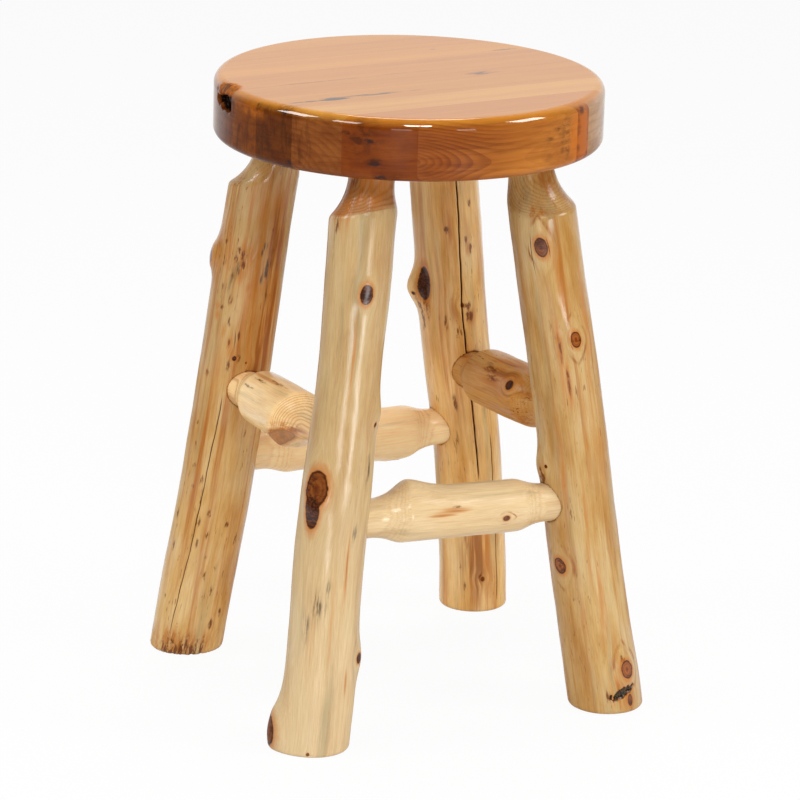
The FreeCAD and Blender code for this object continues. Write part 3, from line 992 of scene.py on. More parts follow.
    def trimmed(self, places: Array, radii: Array) -> Array:
        """Radii with the foot rounded and the tenons' tips chamfered.

        Args:
            places: distances along the log.
            radii: distances from its centre line.

        Returns:
            The smaller radii.
        """
        if self.foot:
            lift = np.clip(1.0 - places / FOOT_ROUND, 0.0, 1.0)
            radii = radii - FOOT_ROUND * (1.0 - np.sqrt(1.0 - lift**2))
        for tenon in self.tenons:
            radii = radii - np.clip((places - tenon.chamfer) * tenon.sign, 0.0, TENON_CHAMFER)
        return radii

    def ring_points(self, headings: Array, places: Array, radii: Array) -> Array:
        """Ring points, with the rings of a tenon set square to the run past its root.

        Args:
            headings: directions round the log in degrees.
            places: distances along the log.
            radii: distances from its centre line.

        Returns:
            The points in millimetres.
        """
        line = unit(self.run)
        directions = self.towards(headings)
        lean = directions @ line
        square = np.zeros_like(places)
        for tenon in self.tenons:
            past = (places - tenon.root) * tenon.sign
            span = max(abs(tenon.tip - tenon.root), 1.0)
            square = np.maximum(square, smooth_step(past, SQUARE_FROM * span, SQUARE_BY * span))
        directions = directions - (lean * square)[..., None] * line
        return self.centre(places) + directions * radii[..., None]

    def with_mortises(self, points: Array) -> tuple[Array, Array]:
        """Sinks every mortise into the grid.

        Points inside a mortise's circle go straight down to its floor, and those just
        outside it move onto the circle, so that its rim is round.

        Args:
            points: the grid's points in millimetres.

        Returns:
            The moved points, and 1 where a point lies in a mortise, whose inside the finish
            darkens as painted shade in the gap round the tenon.
        """
        pit = np.zeros(points.shape[:2])
        for mortise in self.mortises:
            offsets = points - mortise.centre
            along = offsets @ mortise.outward
            across = offsets - along[..., None] * mortise.outward
            away = np.linalg.norm(across, axis=-1)
            facing = along > 0.0
            rim = facing & (away >= mortise.radius) & (away < mortise.radius + MORTISE_RIM)
            onto = across * ((mortise.radius / np.maximum(away, TINY)) - 1.0)[..., None]
            points = np.where(rim[..., None], points + onto, points)
            hole = facing & (away < mortise.radius)
            pushed = points - (along + mortise.depth)[..., None] * mortise.outward
            points = np.where(hole[..., None], pushed, points)
            pit = np.maximum(pit, hole)
        return points, pit

    def channels(self, headings: Array, places: Array, radii: Array, depth: Array,
                 groove: Array) -> dict[str, Array]:
        """Values on the grid that the finish reads.

        Args:
            headings: directions round the log in degrees.
            places: distances along the log.
            radii: distances from its centre line.
            depth: how far the tenon cutters went below the bark.
            groove: how far inside a crack, pocket or mortise each point lies.

        Returns:
            grain is the point on a straightened log, with its lines pushed aside round every
            knot. figure is the depth and groove as given. knot is the distance from the nearest
            heart, 1 at its rim, and tone that heart's darkness. eye is the distance in
            lens-shaped steps, and lens how clearly they show. stain has a tint in each colour.
            warmth, ringed and gloss are the log's own. shade is partly the log's own tone and
            partly painted light that brightens a log the lamps leave in shade, and towards a leg's
            foot shade and warmth carry painted light that makes it paler and cooler.
        """
        shift, darkness, lens_share = (np.zeros_like(headings) for _ in range(3))
        nearest, eye = (np.full_like(headings, FAR_AWAY) for _ in range(2))
        for knot in self.spec.knots:
            around, along = self.around(knot.heading, headings), places - knot.place
            wide, tall = max(knot.wide, COLLAR_CORE * knot.width), max(knot.tall, COLLAR_CORE * knot.reach)
            push = GRAIN_PUSH * bell(np.hypot(around / wide, along / tall) / GRAIN_SPREAD)
            shift = shift - np.degrees(around / self.radius) * push
            if knot.tall:
                ring = self.away(knot, headings, places)
                darkness = np.where(ring < nearest, knot.heart.value, darkness)
                nearest = np.minimum(nearest, ring)
            if knot.eye:
                lens = np.abs(around) / (LENS_WIDE * knot.wide) + (along / (LENS_TALL * knot.tall))**2
                lens_share = np.where(lens < eye, knot.eye, lens_share)
                eye = np.minimum(eye, lens)
        spreads = ((patch.tint, patch.strength * bell(self.away(patch, headings, places)))
                   for patch in self.spec.stains)
        # Painted light: a leg turns paler and cooler towards its foot, standing in for the brighter light below
        # the seat's shade
        paler = self.spec.foot_painted_light * (1.0 - smooth_step(places, PALE_FROM, PALE_TO))
        turn = np.radians(headings + shift)
        reach = np.maximum(radii, CORE_SHARE * self.radius)
        grain = (reach * np.cos(turn), reach * np.sin(turn), places + LOG_SPACING * self.seed)
        return {"grain": np.stack(grain, axis=-1), "figure": depth, "knot": nearest, "tone": darkness,
                "stain": stain_layers(headings.shape, spreads), "groove": groove, "eye": eye,
                "lens": lens_share, "warmth": self.spec.warmth - PALE_COOLS * paler,
                "ringed": np.full_like(headings, self.spec.ringed), "shade": self.spec.shade + paler,
                "gloss": np.full_like(headings, self.spec.gloss)}

    def build(self) -> bpy.types.Object:
        """Makes the mesh object that stands for the log's node.

        Returns:
            The object.
        """
        points, channels = self.rings()
        if np.dot(np.cross(self.side, self.up), self.run) < 0.0:
            points = points[:, ::-1]
            channels = {label: values[:, ::-1] for label, values in channels.items()}
        piece = grid_mesh(f"{self.name}_log", points, channels)
        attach(piece, BODY)
        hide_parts(self.name)
        return piece


@dataclass
class Undercarriage:
    """The four legs and the four stretchers between them."""

    legs: dict[str, LegSpec]
    stretchers: dict[str, StretcherSpec]
    logs: dict[str, PeeledLog] = field(default_factory=dict)

    def leg_log(self, name: str, seed: int) -> PeeledLog:
        """The log of a leg, from its foot to the tenon in the seat, placed by height.

        Args:
            name: the leg's node.
            seed: picks the log's waves.

        Returns:
            The log, without its mortises.
        """
        spec = self.legs[name]
        mouth = on_circle(SEAT_DIAMETER / 2 - spec.inset, spec.mortise_heading) + SEAT_UNDERSIDE * UPRIGHT
        spread = on_circle(SEAT_UNDERSIDE * math.tan(math.radians(spec.lean)), spec.lean_heading)
        rise = SEAT_UNDERSIDE * UPRIGHT - spread
        slant = SEAT_UNDERSIDE / np.linalg.norm(rise)
        tenon = Tenon(SEAT_UNDERSIDE - spec.neck * slant, SEAT_UNDERSIDE + LEG_TENON_LENGTH * slant,
                      LEG_TENON_DIAMETER / 2)
        return PeeledLog(name, seed, start=mouth - rise, run=rise, length=SEAT_UNDERSIDE,
                         side=np.array([1.0, 0.0, 0.0]), up=np.array([0.0, 1.0, 0.0]),
                         radius=LEG_DIAMETER / 2, spec=spec, tenons=(tenon,))

    def stretcher_log(self, name: str, seed: int) -> PeeledLog:
        """The log of a stretcher, from its first leg to its second, placed by distance.

        Its two mortises are added to the legs.

        Args:
            name: the stretcher's node.
            seed: picks the log's waves.

        Returns:
            The log.
        """
        spec = self.stretchers[name]
        first_leg, second_leg = self.logs[spec.first_leg], self.logs[spec.second_leg]
        first_height, second_height = np.array(spec.first_height), np.array(spec.second_height)
        first, second = first_leg.centre(first_height), second_leg.centre(second_height)
        run = second - first
        length = float(np.linalg.norm(run))
        side = unit(np.cross(run, UPRIGHT))
        if side @ (first + 0.5 * run) < 0.0:
            side = -side
        near_root = float(first_leg.girth(first_height)) + spec.first_neck
        far_root = length - float(second_leg.girth(second_height)) - spec.second_neck
        radius = STRETCHER_TENON_DIAMETER / 2
        tenons = (Tenon(near_root, -STRETCHER_TENON_PAST, radius),
                  Tenon(far_root, length + STRETCHER_TENON_PAST, radius))
        depth = STRETCHER_TENON_PAST + MORTISE_PLAY
        for leg, centre, outward in ((first_leg, first, unit(run)), (second_leg, second, -unit(run))):
            leg.mortises.append(Mortise(centre, outward, radius + MORTISE_PLAY, depth))
        return PeeledLog(name, seed, start=first, run=run, length=length, side=side,
                         up=unit(UPRIGHT - run * (run[2] / length**2)), radius=STRETCHER_DIAMETER / 2,
                         spec=spec, tenons=tenons, columns=176, row_step=1.3)

    def build(self, finish: "LogFinish") -> None:
        """Builds and dresses every log.

        Args:
            finish: the wood that the logs are dressed in.
        """
        for seed, name in enumerate(self.legs, start=1):
            self.logs[name] = self.leg_log(name, SEED_STEP * seed)
        for seed, name in enumerate(self.stretchers, start=len(self.legs) + 1):
            self.logs[name] = self.stretcher_log(name, SEED_STEP * seed)
        for name, log in self.logs.items():
            piece = log.build()
            piece.data.materials.append(finish.material)
            logger.info("%s: %d faces", piece.name, len(piece.data.polygons))


@dataclass(frozen=True)
class Board:
    """How one stave of the seat grew.

    pith_across and pith_up place the centre of its rings. top and side are its colours on
    the screen, and the far end's side colour, where it differs, holds up to far_front across
    the seat; that paler far end is partly the board's own wood and partly painted glare and
    light. rings says how clearly its rings show, and ring_width how wide they are.
    """

    pith_across: float
    pith_up: float
    top: tuple[float, float, float]
    side: tuple[float, float, float]
    far_side_with_glare: Optional[tuple[float, float, float]] = None
    rings: float = 0.4
    ring_width: float = 1.7
    far_front: float = SEAT_DIAMETER


@dataclass(frozen=True)
class BoardMark:
    """A stain in the seat: its middle and half-size along, across and up the boards."""

    middle: tuple[float, float, float]
    half: tuple[float, float, float]
    tint: Tint = Tint.BROWN
    strength: float = 1.0

    def distance(self, loops: Array) -> Array:
        """Distance from the middle in half-sizes, 1 on the rim."""
        return np.linalg.norm((loops - np.array(self.middle)) / np.array(self.half), axis=-1)


@dataclass(frozen=True)
class RimHollow:
    """A natural hollow in the seat's rim, as a mark with a depth, that ends at a glued edge.

    Its floor is level up to a share of the mark. waves give the height of each wave that makes
    its outline ragged, and how fast it turns across and up the boards.
    """

    mark: BoardMark
    depth: float
    edge: float
    floor: float = 0.6
    waves: tuple[tuple[float, float, float], ...] = ((0.09, 0.5, 0.3), (0.07, -0.2, 0.6))

    def sink(self, loops: Array) -> Array:
        """How far points go in towards the seat's axis.

        Args:
            loops: points of one stave in board directions.

        Returns:
            The distances, and 0 everywhere on a stave past the glued edge.
        """
        across, up = loops[..., 1], loops[..., 2]
        ragged = sum(height * np.sin(across * over + up * rise) for height, over, rise in self.waves)
        sunk = self.depth * (1.0 - smooth_step(self.mark.distance(loops) + ragged, self.floor, 1.0))
        return np.where(across.mean() < self.edge, sunk, 0.0)


BOARDS: tuple[Board, ...] = (
    Board(-190.0, 520.0, (211, 141, 42), (172, 98, 40)),
    Board(-120.0, 640.0, (204, 133, 38), (140, 74, 28)),
    Board(-60.0, 540.0, (212, 142, 43), (164, 92, 38)),
    Board(-45.0, 650.0, (205, 134, 39), (124, 66, 24)),
    Board(20.0, 530.0, (202, 132, 38), (140, 74, 9)),
    Board(76.0, 585.0, (206, 137, 40), (108, 54, 6)),
    # The fifth colour of these boards is their side's far end, partly their own paler wood and partly painted
    # glare and light
    Board(76.0, 544.0, (214, 151, 60), (146, 84, 34), (188, 144, 96), rings=0.65, ring_width=6.0),
    Board(158.0, 700.0, (199, 127, 38), (140, 68, 14), (190, 146, 98), rings=0.5, far_front=157.0),
    Board(167.0, 576.0, (204, 132, 39), (162, 88, 32), (200, 126, 50), rings=0.9, ring_width=2.8),
)

BOARD_MARKS: tuple[BoardMark, ...] = tinted(
    BoardMark,
    orange=(((84, 171, 583), (10, 8, 23), 1.2), ((98, 163, 583), (13, 9, 30), 1.3),
            ((-183, -28, 612), (12, 28, 10), 1.0), ((-184, 22, 605), (18, 38, 10), 0.5)),
    blue=(((-117, 60, 616), (13, 4.4, 9), 2.4), ((-74, 58, 616), (46, 3.2, 6), 1.0),
          ((-176, 70, 611), (7, 4, 3), 1.0), ((66, 19, 616), (13, 4.4, 7), 0.55),
          ((-110, -9.5, 616), (90, 2.2, 5), 0.5), ((10, -11, 616), (70, 1.5, 5), 0.4),
          ((-175, 76, 562), (7, 4, 5), 0.8), ((-126, 142, 594), (8, 8, 2.6), 1.0),
          ((-122, 146, 573), (7, 6.5, 3), 1.0), ((-118, 150, 559), (9, 6, 3), 0.9),
          ((120, -148, 592), (8, 8, 5), 1.0)),
    brown=(((-152, 61, 616), (22, 3.4, 5), 0.9), ((-172, 67, 614), (16, 8, 4), 1.0),
           ((70, 19, 616), (19, 7, 7), 0.8), ((144, -63, 616), (26, 3, 6), 0.7),
           ((79, -92, 616), (5, 4, 5), 0.7), ((-130, 139, 594), (20, 19, 4), 1.0),
           ((-142, 128, 600), (10, 9, 2.4), 1.0), ((-122, 146, 574), (12, 11, 5), 0.9),
           ((-140, 130, 585), (10, 10, 3), 0.7), ((46, 185, 572), (11, 6, 7), 0.45),
           ((60, 181, 597), (13, 6, 4), 0.65), ((48, 185, 588), (11, 6, 4), 0.6),
           ((73, 176, 582), (5, 6, 16), 0.8), ((66, 178, 578), (5, 5, 14), 0.5),
           ((68, 177, 597), (18, 11, 20), 0.5), ((95, 165, 609), (5, 5, 5), 1.0),
           ((-187, 35, 612), (3, 1.6, 2.2), 1.0), ((-188, -28, 601), (14, 30, 15), 1.0),
           ((-183, -30, 613), (8, 20, 7), 1.2), ((-176, 45, 572), (26, 42, 22), 0.6),
           ((-110, 155, 562), (40, 14, 6), 0.5), ((-131, 139, 598), (17, 14, 25), 0.75),
           ((-175, 70, 570), (20, 26, 16), 0.4), ((-80, 172, 570), (12, 8, 10), 0.35),
           ((-170, 55, 560), (30, 30, 8), 0.5), ((150, 117, 590), (9, 9, 7), 1.0),
           ((-20, -188, 585), (11, 9, 6), 1.0)))


@dataclass
class Seat:
    """The round seat: nine staves sawn to a disc with rounded rims.

    Places on it are measured along the staves, across them towards the front, and up. The
    first hollow is the deepest. A stave's far side, whose paler colour is partly painted glare
    and light, starts between the places of far_range.
    """

    boards: tuple[Board, ...] = BOARDS
    marks: tuple[BoardMark, ...] = BOARD_MARKS
    hollows: tuple[RimHollow, ...] = (
        RimHollow(BoardMark((-187.0, -20.0, 600.0), (24.0, 38.0, 8.5)), 7.0, -11.0),
        RimHollow(BoardMark((-184.0, -24.0, 611.0), (14.0, 32.0, 10.0)), 1.2, -11.0),
    )
    radius: float = SEAT_DIAMETER / 2
    side_rings: int = 46
    steps_across: int = 72
    top_columns: int = 130
    far_range: tuple[float, float] = (-70.0, 40.0)
    far_fades: float = 0.9
    rim_share: float = 0.9

    def seams(self) -> Array:
        """Distances of the stave edges towards the front.

        Returns:
            The distances, from the rear of the blank to its front.
        """
        width = (SEAT_DIAMETER + 2 * BLANK_TRIM) / STAVE_COUNT
        rear = -(self.radius + BLANK_TRIM - BLANK_SHIFT)
        return rear + width * np.arange(STAVE_COUNT + 1)

    def rim_profile(self, top_turn: Array, low_turn: Array) -> tuple[Array, Array]:
        """Radius and height of the rim from its top edge to its bottom edge: arc, straight, arc.

        Args:
            top_turn: how far the top arc turns up from the side, in radians, for every section.
            low_turn: the same for the bottom arc, turning down.

        Returns:
            Radii and heights, shaped sections by profile points.
        """
        top = top_turn[:, None] * np.linspace(1.0, 0.0, TOP_ROUND_STEPS)
        low = low_turn[:, None] * np.linspace(0.0, 1.0, BOTTOM_ROUND_STEPS)
        high_end, low_end = SEAT_HEIGHT - SEAT_TOP_ROUND, SEAT_UNDERSIDE + SEAT_BOTTOM_ROUND
        side = np.linspace(high_end, low_end, self.side_rings)[1:-1]
        side = np.broadcast_to(side, (len(top_turn), len(side)))
        out = [self.radius - SEAT_TOP_ROUND * (1.0 - np.cos(top)), np.full_like(side, self.radius),
               self.radius - SEAT_BOTTOM_ROUND * (1.0 - np.cos(low))]
        up = [SEAT_HEIGHT - SEAT_TOP_ROUND * (1.0 - np.sin(top)), side,
              SEAT_UNDERSIDE + SEAT_BOTTOM_ROUND * (1.0 - np.sin(low))]
        return np.concatenate(out, axis=1), np.concatenate(up, axis=1)

    def inner_rings(self, low: float, high: float) -> Array:
        """Loops round a stave with two glued edges, one for each step across it.

        At a distance across the disc, a rim point of radius r stands at the square root of r
        squared less that distance squared along the stave. Top and bottom are level lines.

        Args:
            low: distance of the stave's rear edge.
            high: distance of its front edge.

        Returns:
            Points shaped steps by loop by 3, in board directions.
        """
        across = np.linspace(low, high, self.steps_across)
        quarter = np.full(self.steps_across, math.pi / 2)
        out, up = self.rim_profile(quarter, quarter)
        along = np.sqrt(out**2 - across[:, None]**2)
        last = np.array(LAST_SHARES)
        share = np.concatenate([-last[::-1], np.linspace(-EVEN_SHARE, EVEN_SHARE, self.top_columns), last])
        level = np.ones_like(share)
        parts_along = [along[:, :1] * share, along, -along[:, -1:] * share, -along[:, ::-1]]
        parts_up = [up[:, :1] * level, up, up[:, -1:] * level, up[:, ::-1]]
        heights = np.concatenate(parts_up, axis=1)
        return self.stacked(np.concatenate(parts_along, axis=1), across[:, None], heights)

    def outer_rings(self, seam: float) -> Array:
        """Loops round the first or the last stave, one for each step along it.

        At a distance along the stave, a rim point of radius r stands at the square root of r
        squared less that distance squared across it. The arcs of the rim turn only as far as
        the seam lets them, so the loops close to a short upright edge at both ends.

        Args:
            seam: distance of the stave's one glued edge, below 0 for the rear stave.

        Returns:
            Points shaped steps by loop by 3, in board directions.
        """
        start = abs(seam)
        reach = math.sqrt(self.radius**2 - start**2) - TIP_GAP
        along = reach * np.sin(np.linspace(-math.pi / 2, math.pi / 2, OUTER_STEPS))
        room = self.radius - np.hypot(start, along)
        out, up = self.rim_profile(np.arccos(np.clip(1.0 - room / SEAT_TOP_ROUND, 0.0, 1.0)),
                                   np.arccos(np.clip(1.0 - room / SEAT_BOTTOM_ROUND, 0.0, 1.0)))
        across = np.maximum(np.sqrt(np.maximum(out**2 - along[:, None]**2, 0.0)), start)
        share = np.concatenate([np.linspace(0.0, 1.0, OUTER_TOP_STEPS)[:-1], LAST_SHARES[:1]])
        level = np.ones_like(share)
        top = start + (across[:, :1] - start) * share
        low = start + (across[:, -1:] - start) * share[::-1]
        face = np.linspace(0.0, 1.0, SEAM_STEPS)[1:-1]
        face_up = up[:, -1:] + (up[:, :1] - up[:, -1:]) * face
        across = np.concatenate([top, across, low, np.full_like(face_up, start)], axis=1)
        heights = np.concatenate([up[:, :1] * level, up, up[:, -1:] * level, face_up], axis=1)
        loops = self.stacked(along[:, None], math.copysign(1.0, seam) * across, heights)
        return loops if seam < 0.0 else loops[:, ::-1]

    @staticmethod
    def stacked(along: Array, across: Array, up: Array) -> Array:
        """Three broadcast arrays as points."""
        return np.stack(np.broadcast_arrays(along, across, up), axis=-1)

    def channels(self, board: Board, loops: Array) -> dict[str, Array]:
        """Values on a stave that the finish reads.

        Args:
            board: how the stave grew.
            loops: its points in board directions.

        Returns:
            board is the place in the boards, rings the count of rings from the pith, ringed how
            clearly they show, top_tone the stave's own colour on top and side_tone its colour on
            the side, which towards a far end is partly painted glare and light, rim 0 on top and 1
            on the side, stain as on a log, and groove 1 at the bottom of the deepest hollow.
        """
        across, up = loops[..., 1], loops[..., 2]
        rings = np.hypot(across - board.pith_across, up - board.pith_up) / board.ring_width
        rim = 1.0 - smooth_step(up, SEAT_HEIGHT - self.rim_share * SEAT_TOP_ROUND, SEAT_HEIGHT)
        # The side's far end is partly the board's own paler wood and partly painted glare and light, and its
        # rings fade there
        far = smooth_step(loops[..., 0], *self.far_range) * (across < board.far_front)
        near_side, far_side_with_glare = np.array(tone(*board.side)), np.array(tone(*(board.far_side_with_glare or board.side)))
        fades = self.far_fades if board.far_side_with_glare else 0.0
        spreads = ((mark.tint, mark.strength * bell(mark.distance(loops))) for mark in self.marks)
        return {"board": loops, "rings": rings, "ringed": board.rings * (1.0 - fades * far),
                "top_tone": np.broadcast_to(tone(*board.top), rings.shape + (4,)),
                "side_tone": near_side + (far_side_with_glare - near_side) * far[..., None], "rim": rim,
                "stain": stain_layers(rings.shape, spreads),
                "groove": np.clip(self.sunk(loops) / self.hollows[0].depth, 0.0, 1.0)}

    def sunk(self, loops: Array) -> Array:
        """How far the deepest hollow at each point goes in towards the seat's axis."""
        return np.max([hollow.sink(loops) for hollow in self.hollows], axis=0)

    def placed(self, loops: Array) -> Array:
        """Turns a stave into the stool's frame, with the natural hollows sunk into the rim.

        Args:
            loops: its points in board directions.

        Returns:
            The points in millimetres.
        """
        turn = math.radians(STAVE_HEADING)
        outward = loops * (1.0 - UPRIGHT)
        outward = outward / np.maximum(np.linalg.norm(outward, axis=-1, keepdims=True), 1.0)
        sunk = loops - outward * self.sunk(loops)[..., None]
        along = np.array([math.cos(turn), math.sin(turn), 0.0])
        front = np.array([math.sin(turn), -math.cos(turn), 0.0])
        return sunk[..., :1] * along + sunk[..., 1:2] * front + sunk[..., 2:] * UPRIGHT

    def build(self, finish: "SeatFinish") -> None:
        """Builds and dresses the staves, from the rear one to the front one.

        Args:
            finish: the wood that the staves are dressed in.
        """
        edges = self.seams()
        for index, board in enumerate(self.boards):
            if 0 < index < STAVE_COUNT - 1:
                loops = self.inner_rings(edges[index], edges[index + 1])
            else:
                loops = self.outer_rings(edges[max(index, 1)])
            name = f"seat_stave_{index + 1}"
            piece = grid_mesh(f"{name}_board", self.placed(loops), self.channels(board, loops))
            self.settle(piece)
            piece.data.materials.append(finish.material)
            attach(piece, BODY)
            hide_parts(name)
            logger.info("%s: %d faces", piece.name, len(piece.data.polygons))

    @staticmethod
    def settle(piece: bpy.types.Object) -> None:
        """Merges points that fall together, points the faces outwards and keeps sawn corners sharp.

        Args:
            piece: the stave.
        """
        shell = bmesh.new()
        shell.from_mesh(piece.data)
        bmesh.ops.remove_doubles(shell, verts=shell.verts, dist=MERGE_DISTANCE)
        bmesh.ops.recalc_face_normals(shell, faces=shell.faces)
        shell.to_mesh(piece.data)
        shell.free()
        piece.data.set_sharp_from_angle(angle=math.radians(SHARP_ANGLE))


class Sketch:
    """The node tree of a material or of the surround, with short calls that add and link nodes."""

    def __init__(self, owner: Union[bpy.types.Material, bpy.types.World]) -> None:
        """Empties the tree.

        Args:
            owner: the material or the world that it belongs to.
        """
        owner.use_nodes = True
        self.owner = owner
        self.tree = owner.node_tree
        self.tree.nodes.clear()

    def node(self, kind: str, **settings: object) -> bpy.types.Node:
        """Adds a node.

        Args:
            kind: its kind, without the prefix of shader nodes.
            settings: its settings by name.

        Returns:
            The new node.
        """
        made = self.tree.nodes.new(f"ShaderNode{kind}")
        for label, value in settings.items():
            setattr(made, label, value)
        return made

    def feed(self, socket: Socket, value: Feed) -> None:
        """Links a socket to another one, or sets its value.

        Args:
            socket: the input to feed.
            value: an output to link it to, or a value.
        """
        if isinstance(value, bpy.types.NodeSocket):
            self.tree.links.new(value, socket)
        else:
            socket.default_value = value

    def fed(self, made: bpy.types.Node, inputs: Iterable[Feed]) -> bpy.types.Node:
        """Feeds a node's inputs in order.

        Args:
            made: the node.
            inputs: what its first inputs are fed with.

        Returns:
            The same node.
        """
        for socket, item in zip(made.inputs, inputs):
            self.feed(socket, item)
        return made

    def value(self, operation: str, *inputs: Feed, clamp: bool = False) -> Socket:
        """The result of a maths operation."""
        return self.fed(self.node("Math", operation=operation, use_clamp=clamp), inputs).outputs[0]

    def vector(self, operation: str, *inputs: Feed) -> Socket:
        """The result of a vector operation."""
        return self.fed(self.node("VectorMath", operation=operation), inputs).outputs[0]

    def read(self, label: str, output: str = "Fac") -> Socket:
        """An attribute of the mesh."""
        return self.node("Attribute", attribute_name=label).outputs[output]

    def noise(self, place: Socket, scale: float, detail: float = 2.0, rough: float = 0.5,
              twist: float = 0.0) -> Socket:
        """Noise between 0 and 1.

        Args:
            place: where it is read.
            scale: how close it is.
            detail: how many finer layers it has.
            rough: how strong those are.
            twist: how far it is distorted.

        Returns:
            The noise.
        """
        made = self.node("TexNoise")
        labels = ("Vector", "Scale", "Detail", "Roughness", "Distortion")
        for label, item in zip(labels, (place, scale, detail, rough, twist)):
            self.feed(made.inputs[label], item)
        return made.outputs["Fac"]

    def band(self, value: Feed, low: float, high: float, start: float = 0.0, end: float = 1.0) -> Socket:
        """A value carried smoothly from the range low to high to the range start to end, and held there."""
        made = self.node("MapRange", interpolation_type="SMOOTHSTEP")
        return self.fed(made, (value, low, high, start, end)).outputs[0]

    def blend(self, share: Feed, first: Feed, second: Feed, mode: str = "MIX") -> Socket:
        """Two colours mixed by a share.

        Args:
            share: 0 for the first colour, 1 for the second or for both by the mode.
            first: a colour.
            second: another one.
            mode: how they mix.

        Returns:
            The mixed colour.
        """
        made = self.node("Mix", data_type="RGBA", blend_type=mode, clamp_factor=True)
        for index, item in zip(MIX_INPUTS, (share, first, second)):
            self.feed(made.inputs[index], item)
        return made.outputs[MIX_OUTPUT]

    def ramp(self, value: Socket, stops: tuple[tuple[float, Colour], ...]) -> Socket:
        """A colour read off a ramp.

        Args:
            value: where on the ramp.
            stops: places on it and their colours.

        Returns:
            The colour.
        """
        made = self.node("ValToRGB")
        elements = made.color_ramp.elements
        while len(elements) < len(stops):
            elements.new(0.5)
        for element, (place, colour) in zip(elements, stops):
            element.position = place
            element.color = colour
        self.feed(made.inputs[0], value)
        return made.outputs[0]

    def bump(self, height: Socket, strength: float, distance: float, below: Optional[Socket] = None) -> Socket:
        """A bumped normal.

        Args:
            height: the height of the bumps.
            strength: how strongly they show.
            distance: how high a height of 1 is, in metres.
            below: a normal that they are laid over.

        Returns:
            The normal.
        """
        made = self.node("Bump")
        self.feed(made.inputs["Strength"], strength)
        self.feed(made.inputs["Distance"], distance)
        self.feed(made.inputs["Height"], height)
        if below is not None:
            self.feed(made.inputs["Normal"], below)
        return made.outputs["Normal"]

    def surface(self, **sockets: Feed) -> None:
        """Ends the tree with a principled surface.

        Args:
            sockets: what its inputs are fed with, by name with spaces as underscores.
        """
        shader = self.node("BsdfPrincipled")
        for label, item in sockets.items():
            self.feed(shader.inputs[label.replace("_", " ")], item)
        self.feed(self.node("OutputMaterial").inputs["Surface"], shader.outputs[0])


def tone(red: float, green: float, blue: float) -> Colour:
    """A colour written as screen values from 0 to 255, as linear light."""
    shares = [value / 255 for value in (red, green, blue)]
    return (*(s / 12.92 if s <= 0.04045 else ((s + 0.055) / 1.055) ** 2.4 for s in shares), 1.0)


WHITE = tone(255, 255, 255)
HEART_RAMP = ((0.0, tone(84, 36, 10)), (0.25, tone(140, 70, 20)), (0.45, tone(172, 98, 38)),
              (0.60, tone(140, 72, 24)), (0.76, tone(160, 88, 34)), (0.93, tone(66, 26, 6)))


@dataclass(frozen=True)
class StainLook:
    """How one kind of stain looks.

    hue is its colour and most its greatest share. The noise that breaks it up is read at a
    scale and a stretch, and leaves at least the least of it. The stain shows from start and is
    whole at full, and a strong one turns to the deep colour.
    """

    hue: Colour
    most: float
    scale: float
    stretch: tuple[float, float, float]
    start: float
    full: float
    least: float = 0.15
    deep: Optional[Colour] = None


def stained(s: Sketch, colour: Socket, place: Socket, looks: tuple[StainLook, ...]) -> Socket:
    """Lays the orange, blue-grey and brown stains over a colour, broken up by noise.

    Args:
        s: the node tree.
        colour: the wood without its stains.
        place: where the noise is read.
        looks: how each kind of stain looks, in the order of the tints.

    Returns:
        The colour with the stains.
    """
    split = s.node("SeparateColor")
    s.feed(split.inputs[0], s.read("stain", "Color"))
    for output, look in zip(split.outputs, looks):
        noise = s.noise(s.vector("MULTIPLY", place, look.stretch), look.scale, 4.0, 0.65)
        spread = s.value("MULTIPLY", output, s.band(noise, 0.36, 0.64, look.least, 1.4))
        colour = s.blend(s.band(spread, look.start, look.full, 0.0, look.most), colour, look.hue)
        if look.deep:
            colour = s.blend(s.band(spread, 0.9, 2.0, 0.0, 0.6), colour, look.deep)
    return colour


